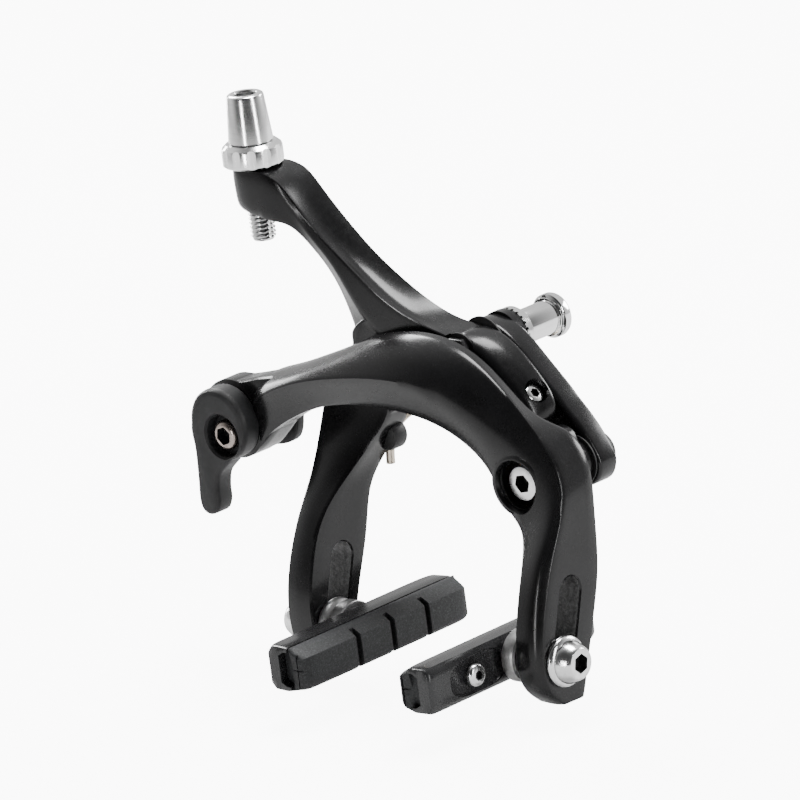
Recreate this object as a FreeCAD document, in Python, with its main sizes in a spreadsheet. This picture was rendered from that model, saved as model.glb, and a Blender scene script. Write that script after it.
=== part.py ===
import FreeCAD, Part
import Sketcher
import math
import os

# Dual-pivot road rim brake caliper, sizes in millimetres.
# Frame: +Z up, +Y back towards the fork, +X to the right seen from the front.
# Origin on the mounting bolt axis, at the rear face that seats on the fork crown.

os.makedirs("parts", exist_ok=True)
doc = FreeCAD.newDocument("rim_brake")
V = FreeCAD.Vector

# ---------------------------------------------------------------- named sizes
dims = doc.addObject("Spreadsheet::Sheet", "dims")
SIZES = [
    ("bolt_radius", 3.0),
    ("bolt_front", 21.2),
    ("bolt_rear", 10.5),
    ("bracket_rear", 4.5),
    ("bracket_thickness", 6.5),
    ("boss_rear", 2.9),
    ("boss_radius", 6.3),
    ("bracket_end_radius", 6.5),
    ("pivot_x", 24.0),
    ("pivot_z", -25.0),
    ("pivot_pin_radius", 3.5),
    ("toothed_washer_radius", 5.75),
    ("tooth_count", 24),
    ("sleeve_radius", 4.0),
    ("sleeve_length", 13.2),
    ("sleeve_flange_radius", 5.2),
    ("bushing_wall", 0.9),
    ("running_gap", 0.05),
    ("shim_thickness", 0.4),
    ("hub_front", 11.5),
    ("hub_width", 7.4),
    ("hub_radius", 8.2),
    ("hub_recess_radius", 5.2),
    ("tail_top", 9.1),
    ("tail_bottom", 1.5),
    ("tail_length", 21.6),
    ("head_x", -57.8),
    ("head_y", -19.0),
    ("head_top", 39.5),
    ("head_bottom", 28.4),
    ("head_radius", 5.2),
    ("ring_radius", 7.1),
    ("ring_height", 5.2),
    ("barrel_thread_radius", 3.0),
    ("barrel_bottom", 21.6),
    ("barrel_top", 56.2),
    ("cone_base_radius", 5.2),
    ("cone_top_radius", 4.2),
    ("end_x", -64.1),
    ("end_z", -18.9),
    ("end_boss_radius", 9.4),
    ("end_boss_rear", 21.5),
    ("lever_back", 30.9),
    ("lever_thickness", 5.3),
    ("lever_radius", 8.7),
    ("cam_radius", 6.2),
    ("anchor_x", -62.9),
    ("anchor_z", -21.4),
    ("leg_inner", 31.5),
    ("leg_outer", 38.5),
    ("left_leg_outer", 39.5),
    ("slot_width", 6.8),
    ("slot_travel", 15.6),
    ("slot_slant", 18.5),
    ("pad_bolt_y", -38.6),
    ("pad_bolt_z", -62.0),
    ("pad_face", 14.0),
    ("pad_length", 54.0),
    ("pad_height", 10.8),
    ("pad_front", -66.0),
    ("holder_back", 25.0),
    ("pad_washer_radius", 5.9),
]
for row, (alias, value) in enumerate(SIZES, start=1):
    dims.set("A%d" % row, alias)
    dims.set("B%d" % row, str(value))
    dims.setAlias("B%d" % row, alias)
doc.recompute()


def size(alias):
    """Read one named size back from the sheet."""
    return float(dims.get(alias))


# ---------------------------------------------------------------- small tools
def bind(obj, prop, expression):
    obj.setExpression(prop, expression)
    return obj


def new_body(name):
    return doc.addObject("PartDesign::Body", name)


def plane_of(body, role):
    for feature in body.Origin.OriginFeatures:
        if feature.Role == role:
            return feature
    raise ValueError(role)


def new_sketch(body, name, role, lift=None):
    """Sketch on an origin plane, lifted along the plane's own normal."""
    sketch = body.newObject("Sketcher::SketchObject", name)
    sketch.AttachmentSupport = [(plane_of(body, role), "")]
    sketch.MapMode = "FlatFace"
    if lift is not None:
        bind(sketch, ".AttachmentOffset.Base.z", lift)
    return sketch


def add_loop(sketch, points):
    """Closed polygon through 2D points."""
    first = sketch.GeometryCount
    count = len(points)
    for i in range(count):
        a = V(points[i][0], points[i][1], 0)
        b = V(points[(i + 1) % count][0], points[(i + 1) % count][1], 0)
        sketch.addGeometry(Part.LineSegment(a, b), False)
    for i in range(count):
        sketch.addConstraint(
            Sketcher.Constraint("Coincident", first + i, 2, first + (i + 1) % count, 1))


def add_spline(sketch, points):
    """Closed smooth curve through 2D points."""
    curve = Part.BSplineCurve()
    curve.interpolate([V(x, y, 0) for x, y in points], PeriodicFlag=True)
    sketch.addGeometry(curve, False)


def add_circle(sketch, x, y, radius_expression):
    index = sketch.addGeometry(Part.Circle(V(x, y, 0), V(0, 0, 1), 1.0), False)
    sketch.addConstraint(Sketcher.Constraint("Radius", index, 1.0))
    sketch.setExpression("Constraints[%d]" % (sketch.ConstraintCount - 1), radius_expression)


def pad(body, sketch, length_expression, name):
    feature = body.newObject("PartDesign::Pad", name)
    feature.Profile = sketch
    bind(feature, "Length", length_expression)
    doc.recompute()
    return feature


def turned(name, axis, profile, place=None):
    """Solid of revolution. Profile points are (radius, distance along the axis)."""
    body = new_body(name)
    role = {"x": "XY_Plane", "y": "XY_Plane", "z": "XZ_Plane"}[axis]
    sketch = new_sketch(body, name + "_profile", role)
    if axis == "x":
        add_loop(sketch, [(along, radius) for radius, along in profile])
    else:
        add_loop(sketch, profile)
    spin = body.newObject("PartDesign::Revolution", name + "_turn")
    spin.Profile = sketch
    spin.ReferenceAxis = (sketch, ["H_Axis" if axis == "x" else "V_Axis"])
    spin.Angle = 360
    if place is not None:
        body.Placement = FreeCAD.Placement(place, FreeCAD.Rotation())
    doc.recompute()
    return body


def cylinder(name, axis, radius_expression, length_expression, base):
    """Round tool along +X, +Y or +Z from a base point."""
    tool = doc.addObject("Part::Cylinder", name)
    bind(tool, "Radius", radius_expression)
    bind(tool, "Height", length_expression)
    tool.Placement = FreeCAD.Placement(base, ALONG[axis])
    return tool


ALONG = {
    "x": FreeCAD.Rotation(V(0, 1, 0), 90),
    "y": FreeCAD.Rotation(V(1, 0, 0), -90),
    "z": FreeCAD.Rotation(),
}


def hexagon(name, axis, across_flats, depth, base):
    """Six-sided tool used for sockets and hex nuts."""
    tool = doc.addObject("Part::Prism", name)
    tool.Polygon = 6
    tool.Circumradius = across_flats / math.sqrt(3)
    tool.Height = depth
    tool.Placement = FreeCAD.Placement(base, ALONG[axis])
    return tool


def box(name, corner, extent):
    tool = doc.addObject("Part::Box", name)
    tool.Length, tool.Width, tool.Height = extent
    tool.Placement = FreeCAD.Placement(corner, FreeCAD.Rotation())
    return tool


def fuse(name, shapes):
    joined = doc.addObject("Part::MultiFuse", name)
    joined.Shapes = shapes
    joined.Refine = True
    return joined


def cut(name, base, tools):
    tool = tools[0] if len(tools) == 1 else fuse(name + "_tools", tools)
    result = doc.addObject("Part::Cut", name)
    result.Base = base
    result.Tool = tool
    return result


def common(name, shapes):
    result = doc.addObject("Part::MultiCommon", name)
    result.Shapes = shapes
    return result


NODES = {}


def node(name, obj):
    NODES[name] = obj
    return obj


# ---------------------------------------------------------------- rear bracket
bolt_r = size("bolt_radius")
pivot = V(size("pivot_x"), 0, size("pivot_z"))
boss_r = size("boss_radius")
end_r = size("bracket_end_radius")


def link_outline(radius_a, radius_b, centre_b, steps=14):
    """Two round ends joined by straight flanks, as 2D points (x, z)."""
    angle = math.atan2(centre_b[1], centre_b[0])
    points = []
    for i in range(steps + 1):
        turn = angle - math.pi / 2 + math.pi * i / steps
        points.append((centre_b[0] + radius_b * math.cos(turn),
                       centre_b[1] + radius_b * math.sin(turn)))
    for i in range(steps + 1):
        turn = angle + math.pi / 2 + math.pi * i / steps
        points.append((radius_a * math.cos(turn), radius_a * math.sin(turn)))
    return points


bracket = new_body("bracket_body")
bracket_sketch = new_sketch(bracket, "bracket_outline", "XZ_Plane", "dims.bracket_rear")
add_loop(bracket_sketch, link_outline(boss_r, end_r, (pivot.x, pivot.z)))
pad(bracket, bracket_sketch, "dims.bracket_thickness", "bracket_pad")
boss_sketch = new_sketch(bracket, "boss_outline", "XZ_Plane", "dims.boss_rear")
add_circle(boss_sketch, 0, 0, "dims.boss_radius - 0.4")
pad(bracket, boss_sketch, "dims.bracket_rear - dims.boss_rear + 0.5", "boss_pad")
bracket_holes = [
    cylinder("bracket_bolt_hole", "y", "dims.bolt_radius + dims.running_gap", "20", V(0, -15, 0)),
    cylinder("bracket_pin_hole", "y", "dims.pivot_pin_radius - 0.5 + dims.running_gap", "20",
             V(pivot.x, -15, pivot.z)),
    cylinder("bracket_spring_hole", "y", "1.25", "20", V(2.2, -15, -10.4)),
]
spring_lug = cylinder("spring_lug", "y", "3.0", "dims.bracket_thickness - 1", V(2.2, -10.5, -9.4))
node("bracket_plate", cut("bracket_plate_solid", fuse("bracket_with_lug", [bracket, spring_lug]),
                          bracket_holes))

# Toothed washer: round disc with radial teeth cut into its front face.
tooth_r = size("toothed_washer_radius")
boss_rear = size("boss_rear")
washer_blank = turned("toothed_washer_blank", "y", [
    (bolt_r + 0.1, -boss_rear), (tooth_r, -boss_rear), (tooth_r, -0.7),
    (tooth_r - 0.5, 0), (bolt_r + 0.1, 0)])
tooth_count = int(size("tooth_count"))
teeth = []
for i in range(tooth_count):
    notch = box("tooth_gap_%d" % i, V(4.4, -boss_rear - 0.1, -0.22), (2.0, 0.8, 0.44))
    spin = FreeCAD.Rotation(V(0, 1, 0), 360.0 * i / tooth_count)
    notch.Placement = FreeCAD.Placement(spin.multVec(notch.Placement.Base), spin)
    teeth.append(notch)
node("serrated_washer", cut("toothed_washer", washer_blank, teeth))

# Mounting bolt: threaded shank through bracket and arm hub, thin head in front.
bolt_front = size("bolt_front")
bolt_rear = size("bolt_rear")
mount_profile = [
    (0, -bolt_front), (bolt_r - 0.4, -bolt_front), (bolt_r, -bolt_front + 0.4),
    (bolt_r, bolt_rear - 0.6), (bolt_r - 0.6, bolt_rear), (0, bolt_rear)]
node("mounting_bolt", turned("mounting_bolt_body", "y", mount_profile))

# Lock nut on the front end of the mounting bolt.
nut_rear = -size("hub_front") - size("hub_width") - size("shim_thickness") - 0.1
nut_height = 1.7
nut_blank = hexagon("centre_nut_hex", "y", 8.0, nut_height, V(0, nut_rear - nut_height, 0))
node("centre_nut", cut("centre_nut_solid", nut_blank, [
    cylinder("centre_nut_bore", "y", "dims.bolt_radius + dims.running_gap", "6", V(0, nut_rear - 4, 0))]))


def ring(name, outer, inner, rear, thickness, centre):
    """Flat washer whose rear face lies at Y = rear."""
    return turned(name, "y", [
        (inner, rear - thickness), (outer, rear - thickness),
        (outer, rear), (inner, rear)], centre)


shim = size("shim_thickness")
gap = size("running_gap")
hub_front = size("hub_front")
hub_width = size("hub_width")
node("hub_shim_rear", ring("hub_shim_rear_body", 6.4, bolt_r + gap, -hub_front + shim + 0.05, shim,
                           V(0, 0, 0)))
node("hub_shim_front", ring("hub_shim_front_body", 4.8, bolt_r + gap, -hub_front - hub_width - 0.05,
                            shim, V(0, 0, 0)))

# Sleeve nut: long round nut with a grooved flange, the part that clamps the fork crown.
sleeve_r = size("sleeve_radius")
flange_r = size("sleeve_flange_radius")
sleeve_end = size("sleeve_length")
sleeve_blank = turned("sleeve_nut_blank", "y", [
    (bolt_r + gap, 0), (sleeve_r, 0), (sleeve_r, 9.6), (sleeve_r + 0.6, 9.6),
    (sleeve_r + 0.6, 10.1), (sleeve_r, 10.1), (sleeve_r, 10.6), (flange_r, 10.6), (flange_r, 12.6),
    (flange_r - 0.6, sleeve_end), (bolt_r + gap, sleeve_end)])
node("sleeve_nut", cut("sleeve_nut_solid", sleeve_blank, [
    hexagon("sleeve_socket", "y", 6.2, 2.2, V(0, sleeve_end - 2.0, 0))]))

# Side pivot bolt: head recessed in the front arm, plain pin, thinner thread in the bracket.
pin_r = size("pivot_pin_radius")
pin_face = -29.7
pin_blank = turned("side_pivot_blank", "y", [
    (0, pin_face), (3.6, pin_face), (4.0, pin_face + 0.4), (4.0, pin_face + 3.2), (pin_r, pin_face + 3.2),
    (pin_r, -11.05), (pin_r - 0.5, -11.05), (pin_r - 0.5, -2.6), (0, -2.6)], pivot)
node("side_pivot_bolt", cut("side_pivot_solid", pin_blank, [
    hexagon("side_pivot_socket", "y", 4.0, 2.8, V(pivot.x, pin_face - 0.1, pivot.z))]))
node("side_pivot_nut", turned("side_pivot_nut_body", "y", [
    (pin_r - 0.5 + gap, -4.45), (4.6, -4.45), (4.6, -3.4), (4.0, -2.5), (pin_r - 0.5 + gap, -2.5)], pivot))
node("pivot_shim", ring("pivot_shim_body", 6.0, pin_r + gap, -11.05, shim, pivot))

# ---------------------------------------------------------------- rear Y-shaped arm
hub_r = size("hub_radius")
leg_in = size("leg_inner")
leg_out = size("leg_outer")
screw_dir = V(0.793, 0, 0.609)
tail_dir = V(0.609, 0, -0.793)

# Front outline of hub, upper arm and shoulder (x, z).
Y_UPPER = [
    (-52.0, 39.2), (-47.2, 36.2), (-42.2, 29.8), (-36.6, 23.8), (-29.5, 17.4), (-21.0, 11.6),
    (-13.0, 8.2), (-4.5, 7.4), (3.5, 7.6), (8.6, 2.6), (8.6, -4.4), (4.0, -9.2), (-5.0, -11.6),
    (-14.5, -12.4), (-22.5, -15.6), (-27.6, -21.0), (-31.2, -27.6), (-35.6, -31.0), (-40.6, -27.0),
    (-42.2, -19.0), (-41.6, -12.0), (-37.4, -5.6), (-32.4, -0.8), (-30.6, 4.6), (-31.6, 10.6),
    (-34.6, 16.8), (-38.8, 21.8), (-44.2, 25.4), (-50.0, 27.6), (-54.2, 30.6), (-55.0, 36.0),
]
arm_body = new_body("y_upper_body")
arm_sketch = new_sketch(arm_body, "y_upper_outline", "XZ_Plane", "dims.hub_front")
add_spline(arm_sketch, Y_UPPER)
pad(arm_body, arm_sketch, "dims.hub_width + 1.8", "y_upper_pad")
hub_relief = cylinder("y_hub_relief", "y", "dims.hub_recess_radius", "5", V(0, -hub_front - hub_width - 5, 0))

tail_body = new_body("y_tail_body")
tail_sketch = new_sketch(tail_body, "y_tail_outline", "XZ_Plane", "dims.hub_front")
tail_top = size("tail_top")
tail_low = size("tail_bottom")
tail_len = size("tail_length")
TAIL = [(tail_top, 0), (tail_top, tail_len - 2), (tail_top - 1.6, tail_len), (tail_low + 2.2, tail_len + 1.4),
        (tail_low + 0.6, tail_len + 1.2), (tail_low, tail_len), (tail_low, 8), (-hub_r + 1, 2), (-4, -4), (3, -5)]
tail_points = [screw_dir * across + tail_dir * along for across, along in TAIL]
add_loop(tail_sketch, [(p.x, p.z) for p in tail_points])
pad(tail_body, tail_sketch, "dims.hub_width", "y_tail_pad")

head = V(size("head_x"), size("head_y"), 0)
head_low = size("head_bottom")
head_top = size("head_top")
head_block = cylinder("y_head_round", "z", "dims.head_radius", "dims.head_top - dims.head_bottom",
                      V(head.x, head.y, head_low))
head_bridge = box("y_head_bridge", V(head.x, head.y - 5.2, head_low), (10.5, 10.4, head_top - head_low))

# Leg: front outline and side outline, kept where both overlap.
LEG_SIDE = [
    (-13.0, -12.0), (-15.0, -20.0), (-20.2, -27.0), (-22.9, -34.0), (-24.2, -42.0), (-26.8, -50.0),
    (-29.6, -58.0), (-32.4, -66.0), (-35.0, -73.0), (-40.4, -73.4), (-44.2, -68.8), (-45.6, -62.0),
    (-44.2, -52.5), (-42.0, -45.0), (-39.8, -39.0), (-35.4, -34.4), (-30.4, -29.8), (-26.6, -24.5),
    (-23.4, -18.0), (-21.0, -12.0),
]
LEG_FRONT = [
    (-28.6, -12.0), (-30.4, -22.0), (-31.4, -32.0), (-31.5, -44.0), (-31.5, -58.0), (-31.6, -71.0),
    (-33.4, -75.6), (-37.8, -75.4), (-39.4, -71.0), (-39.5, -58.0), (-39.6, -46.0), (-40.2, -36.0),
    (-41.4, -27.0), (-42.0, -19.0), (-40.6, -12.2), (-34.6, -10.0),
]
front_tool = new_body("y_leg_front_body")
front_sketch = new_sketch(front_tool, "y_leg_front_outline", "XZ_Plane", "10")
add_spline(front_sketch, LEG_FRONT)
pad(front_tool, front_sketch, "40", "y_leg_front_pad")
side_tool = new_body("y_leg_side_body")
side_sketch = new_sketch(side_tool, "y_leg_side_outline", "YZ_Plane", "-50")
add_spline(side_sketch, LEG_SIDE)
pad(side_tool, side_sketch, "30", "y_leg_side_pad")
y_leg = common("y_leg", [front_tool, side_tool])

slant = math.radians(size("slot_slant"))
pad_y = size("pad_bolt_y")
pad_z = size("pad_bolt_z")
travel = size("slot_travel")


def slot_tool(name, side):
    """Slot for the pad bolt, slanted in the side view."""
    body = new_body(name)
    sketch = new_sketch(body, name + "_outline", "YZ_Plane", "28" if side > 0 else "-48")
    half = size("slot_width") / 2
    points = []
    for end, start in ((travel, 0.0), (0.0, math.pi)):
        for i in range(11):
            turn = start + math.pi * i / 10
            across = half * math.cos(turn)
            along = end + half * math.sin(turn)
            points.append((pad_y + across * math.cos(slant) + along * math.sin(slant),
                           pad_z - across * math.sin(slant) + along * math.cos(slant)))
    add_loop(sketch, points)
    pad(body, sketch, "20", name + "_pad")
    return body


# Centring screw bore runs down through the tail, square to the line of the tail.
screw_head = V(17.6, -15.2, -8.6)
screw_turn = FreeCAD.Rotation(V(0, 0, 1), screw_dir)


def along_screw(name, radius, low, high):
    tool = doc.addObject("Part::Cylinder", name)
    tool.Radius = radius
    tool.Height = high - low
    tool.Placement = FreeCAD.Placement(screw_head + screw_dir * low, screw_turn)
    return tool


FACE_TOOL = 6.0


def leg_face(name, low_x):
    """Slab that faces one side of a leg flat for its washer, up to just above the slot."""
    return box(name, V(low_x, -60.0, -80.0), (FACE_TOOL, 50.0, 39.6))


hub_bore = "dims.bolt_radius + dims.bushing_wall"
y_tools = [
    hub_relief,
    cylinder("y_hub_bore", "y", hub_bore, "30", V(0, -35, 0)),
    cylinder("y_barrel_bore", "z", "dims.barrel_thread_radius + dims.running_gap", "30",
             V(head.x, head.y, head_low - 5)),
    slot_tool("y_slot", -1),
    leg_face("y_outer_face", -size("left_leg_outer") - FACE_TOOL),
    leg_face("y_inner_face", -leg_in),
    along_screw("y_screw_bore", 1.55, -9.0, 1.0),
    along_screw("y_screw_seat", 2.35, -2.2, 4.0),
]
node("y_arm", cut("y_arm_solid", fuse("y_arm_rough", [arm_body, tail_body, head_block, head_bridge, y_leg]),
                  y_tools))
node("hub_bushing", turned("hub_bushing_body", "y", [
    (bolt_r + gap, -hub_front - hub_width + 0.1), (bolt_r + 0.88, -hub_front - hub_width + 0.1),
    (bolt_r + 0.88, -hub_front - 0.1), (bolt_r + gap, -hub_front - 0.1)]))

# Centring screw with its own local frame along the screw direction.
screw_body = turned("centring_screw_blank", "z", [
    (0, -7.0), (1.1, -7.0), (1.5, -6.6), (1.5, -2.1), (2.25, -2.1), (2.25, -0.3), (1.95, 0), (0, 0)])
screw_socket = hexagon("centring_socket", "z", 2.0, 1.6, V(0, 0, -1.5))
screw_solid = cut("centring_screw_solid", screw_body, [screw_socket])
screw_solid.Placement = FreeCAD.Placement(screw_head, screw_turn)
node("centring_screw", screw_solid)

# ---------------------------------------------------------------- cable adjuster
ring_r = size("ring_radius")
ring_h = size("ring_height")
thread_r = size("barrel_thread_radius")
ring_low = head_top + 0.05
ring_blank = turned("adjuster_ring_blank", "z", [
    (thread_r + gap, ring_low), (ring_r - 0.6, ring_low), (ring_r, ring_low + 0.6),
    (ring_r, ring_low + ring_h - 0.9), (ring_r - 0.9, ring_low + ring_h), (thread_r + gap, ring_low + ring_h)],
    head)
flutes = []
FLUTES = 12
for i in range(FLUTES):
    turn = 2 * math.pi * i / FLUTES
    flutes.append(cylinder("ring_flute_%d" % i, "z", "1.5", "8",
                           V(head.x + (ring_r + 1.15) * math.cos(turn),
                             head.y + (ring_r + 1.15) * math.sin(turn), ring_low - 1)))
node("adjuster_ring", cut("adjuster_ring_solid", ring_blank, flutes))

barrel_low = size("barrel_bottom")
barrel_top = size("barrel_top")
cone_low = ring_low + ring_h + 0.1
PITCH = 1.0
thread_profile = [(0, barrel_low), (thread_r - 0.5, barrel_low)]
turns = int((cone_low - barrel_low) / PITCH)
for i in range(turns):
    z = barrel_low + i * PITCH
    thread_profile.append((thread_r - 0.45, z + 0.15))
    thread_profile.append((thread_r, z + 0.5))
    thread_profile.append((thread_r - 0.45, z + 0.85))
cone_a = size("cone_base_radius")
cone_b = size("cone_top_radius")
thread_profile += [(thread_r - 0.45, cone_low), (cone_a - 0.3, cone_low), (cone_a, cone_low + 0.3),
                   (cone_b, barrel_top - 0.4), (cone_b - 0.4, barrel_top), (0, barrel_top)]
barrel_blank = turned("barrel_blank", "z", thread_profile, head)
node("adjuster_barrel", cut("adjuster_barrel_solid", barrel_blank, [
    cylinder("cable_bore", "z", "1.0", "60", V(head.x, head.y, barrel_low - 5)),
    cylinder("housing_bore", "z", "2.55", "9", V(head.x, head.y, barrel_top - 8)),
    box("barrel_keyway", V(head.x + thread_r - 0.6, head.y - 0.5, barrel_low - 0.1),
        (0.8, 1.0, cone_low - barrel_low - 1))]))
node("barrel_key", box("barrel_key_box", V(head.x + thread_r - 0.4, head.y - 0.42, head_low + 2),
                       (0.42, 0.84, 5.0)))

# ---------------------------------------------------------------- front C-shaped arm
# Upper and lower edges of the arch from the cable end to the leg (x, z).
ARCH_TOP = [
    (-57.0, -9.6), (-50.0, -6.4), (-43.5, -4.6), (-37.0, -2.4), (-30.0, 0.2), (-22.0, 3.6),
    (-14.0, 5.2), (-6.0, 5.9), (1.5, 5.4), (9.0, 2.8), (16.0, -1.7), (22.5, -8.0), (28.0, -14.6),
    (32.5, -21.0), (36.0, -27.5), (38.0, -35.0),
]
ARCH_LOW = [
    (-58.0, -27.6), (-51.0, -21.0), (-44.0, -16.6), (-37.5, -13.7), (-30.5, -12.0), (-22.5, -11.2),
    (-14.5, -11.1), (-6.5, -11.8), (-0.5, -12.9), (5.0, -14.6), (10.0, -17.2), (14.0, -20.4),
    (17.0, -24.6), (20.0, -29.5), (25.0, -33.6), (30.5, -38.5),
]
# Front ridge between the sloped upper face and the undercut lower face.
ARCH_RIDGE = [
    (-57.0, -14.5), (-50.0, -9.8), (-43.5, -7.8), (-37.0, -6.0), (-29.0, -4.5), (-21.5, -3.4),
    (-13.5, -2.9), (-5.5, -3.2), (2.2, -4.2), (8.5, -6.4), (14.5, -9.2), (19.5, -12.0),
    (24.0, -15.6), (28.0, -20.0), (31.0, -26.0), (33.5, -33.0),
]


def blend(a, b, share):
    return [(p[0] + (q[0] - p[0]) * share, p[1] + (q[1] - p[1]) * share) for p, q in zip(a, b)]


# (depth in front of the origin plane, share of the way to the ridge for top and bottom edge)
ARCH_SECTIONS = [(23.3, 0.0, 0.0), (26.5, 0.0, 0.0), (30.5, 0.42, 0.0), (34.5, 0.92, 0.90)]
arch_body = new_body("arch_body")
arch_sketches = []
for i, (depth, top_share, low_share) in enumerate(ARCH_SECTIONS):
    section = new_sketch(arch_body, "arch_section_%d" % i, "XZ_Plane", "%g" % depth)
    upper = blend(ARCH_TOP, ARCH_RIDGE, top_share)
    lower = blend(ARCH_LOW, ARCH_RIDGE, low_share)
    add_spline(section, upper + lower[::-1])
    arch_sketches.append(section)
doc.recompute()
arch_loft = arch_body.newObject("PartDesign::AdditiveLoft", "arch_loft")
arch_loft.Profile = arch_sketches[0]
arch_loft.Sections = arch_sketches[1:]
arch_loft.Ruled = True
doc.recompute()

C_LEG_FRONT = [
    (31.5, -71.0), (31.5, -58.0), (31.2, -47.0), (29.4, -39.5), (24.5, -33.0), (20.6, -26.0),
    (22.5, -18.0), (28.0, -15.6), (33.2, -21.5), (36.4, -28.0), (38.2, -35.0), (38.6, -46.0),
    (38.5, -58.0), (38.5, -72.0), (37.2, -75.6), (33.2, -75.6),
]
C_LEG_SIDE = [
    (-20.8, -14.0), (-21.4, -24.0), (-22.4, -32.2), (-23.2, -43.8), (-25.9, -52.5), (-28.9, -61.0),
    (-31.4, -68.0), (-34.0, -73.2), (-40.4, -73.6), (-44.4, -68.6), (-45.2, -62.5), (-43.8, -55.8),
    (-41.8, -49.5), (-39.8, -43.6), (-37.4, -38.0), (-34.9, -31.0), (-34.2, -24.0), (-33.2, -14.0),
]
c_front = new_body("c_leg_front_body")
c_front_sketch = new_sketch(c_front, "c_leg_front_outline", "XZ_Plane", "10")
add_spline(c_front_sketch, C_LEG_FRONT)
pad(c_front, c_front_sketch, "40", "c_leg_front_pad")
c_side = new_body("c_leg_side_body")
c_side_sketch = new_sketch(c_side, "c_leg_side_outline", "YZ_Plane", "12")
add_spline(c_side_sketch, C_LEG_SIDE)
pad(c_side, c_side_sketch, "34", "c_leg_side_pad")
c_leg = common("c_leg", [c_front, c_side])

end_x = size("end_x")
end_z = size("end_z")
lever_back = size("lever_back")
end_boss = cylinder("end_boss", "y", "dims.end_boss_radius", "dims.lever_back - 0.2 - dims.end_boss_rear",
                    V(end_x, -lever_back + 0.2, end_z))
pivot_boss = cylinder("pivot_boss", "y", "6.2", "14.5", V(pivot.x, -26.1, pivot.z))
pivot_bulge = cylinder("pivot_bulge", "y", "7.9", "7.6", V(pivot.x, -31.6, pivot.z))
contact = V(13.4, 0, -18.7)
contact_boss = cylinder("contact_boss", "y", "3.6", "5.0", V(contact.x, -24.4, contact.z))
arm_cut = [
    cylinder("pivot_head_recess", "y", "5.4", "6.0", V(pivot.x, -32.6, pivot.z)),
    cylinder("pivot_bore", "y", "dims.pivot_pin_radius + dims.bushing_wall", "24", V(pivot.x, -32.6, pivot.z)),
    cylinder("contact_pin_hole", "y", "1.95", "5", V(contact.x, -25.4, contact.z)),
    cylinder("cam_bore", "y", "dims.cam_radius + dims.running_gap", "20", V(end_x, -35, end_z)),
    slot_tool("c_slot", 1),
    cylinder("lever_clearance", "y", "dims.lever_radius + 0.6", "8", V(end_x, -lever_back - 7.9, end_z)),
    leg_face("c_outer_face", leg_out),
    leg_face("c_inner_face", leg_in - FACE_TOOL),
]
c_rough = fuse("c_arm_rough", [arch_body, c_leg, end_boss, pivot_boss, pivot_bulge, contact_boss])
node("c_arm", cut("c_arm_solid", c_rough, arm_cut))
node("contact_pin", turned("contact_pin_body", "y", [
    (0, -25.3), (1.95, -25.3), (1.95, -13.1), (1.65, -12.8), (0, -12.8)], contact))
node("pivot_bushing", turned("pivot_bushing_body", "y", [
    (pin_r + gap, -26.3), (pin_r + 0.88, -26.3), (pin_r + 0.88, -11.8), (pin_r + gap, -11.8)], pivot))

# ---------------------------------------------------------------- quick release and cable clamp
lever_t = size("lever_thickness")
lever_r = size("lever_radius")
lever_front = lever_back + lever_t
LEVER_TAIL = [
    (-72.6, -19.0), (-72.4, -25.5), (-72.7, -32.0), (-73.0, -38.6), (-71.2, -41.0), (-67.6, -40.4),
    (-65.8, -37.6), (-65.9, -33.4), (-64.6, -29.8), (-60.6, -26.6), (-59.6, -19.4), (-65.0, -15.0),
]
tail_lever = new_body("lever_tail_body")
lever_sketch = new_sketch(tail_lever, "lever_tail_outline", "XZ_Plane", "dims.lever_back")
add_spline(lever_sketch, LEVER_TAIL)
pad(tail_lever, lever_sketch, "dims.lever_thickness", "lever_tail_pad")
lever_disc = turned("lever_disc_body", "y", [
    (0, -lever_front), (lever_r - 1.2, -lever_front), (lever_r, -lever_front + 1.2), (lever_r, -lever_back),
    (0, -lever_back)], V(end_x, 0, end_z))
cam = cylinder("lever_cam", "y", "dims.cam_radius", "10.6", V(end_x, -lever_back - 1, end_z))
anchor = V(size("anchor_x"), 0, size("anchor_z"))
node("quick_release_lever", cut("quick_release_solid", fuse("quick_release_rough", [
    tail_lever, lever_disc, cam]), [
    cylinder("anchor_bore", "y", "3.05", "30", V(anchor.x, -lever_front - 5, anchor.z)),
    cylinder("anchor_recess", "y", "5.1", "4.6", V(anchor.x, -lever_front - 1, anchor.z))]))
bolt_seat = -lever_front + 3.6
anchor_blank = turned("anchor_bolt_blank", "y", [
    (0, bolt_seat - 3.0), (2.9, bolt_seat - 3.0), (3.5, bolt_seat - 2.4), (3.5, bolt_seat), (3.0, bolt_seat),
    (3.0, -12.6), (2.5, -12.1), (0, -12.1)], anchor)
node("anchor_bolt", cut("anchor_bolt_solid", anchor_blank, [
    hexagon("anchor_socket", "y", 4.0, 2.3, V(anchor.x, bolt_seat - 3.1, anchor.z))]))
plate_body = new_body("clamp_plate_body")
plate_sketch = new_sketch(plate_body, "clamp_plate_outline", "XZ_Plane", "17.6")
plate_shape = [(anchor.x + px, anchor.z + pz) for px, pz in (
    (-5.6, -3.4), (-3.0, -6.2), (2.4, -6.4), (7.2, -4.4), (9.0, 0.4), (8.2, 4.6), (3.6, 6.4), (-2.6, 6.0),
    (-5.8, 3.0))]
add_loop(plate_sketch, plate_shape)
pad(plate_body, plate_sketch, "2.5", "clamp_plate_pad")
node("cable_clamp_plate", cut("clamp_plate_solid", plate_body, [
    cylinder("clamp_plate_bore", "y", "3.05", "6", V(anchor.x, -22, anchor.z)),
    cylinder("cable_groove", "z", "0.9", "24", V(head.x, -17.5, anchor.z - 12))]))
clamp_nut = hexagon("anchor_nut_hex", "y", 9.0, 4.4, V(anchor.x, -17.45, anchor.z))
node("anchor_nut", cut("anchor_nut_solid", clamp_nut, [
    cylinder("anchor_nut_bore", "y", "3.0", "8", V(anchor.x, -19, anchor.z))]))

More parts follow.
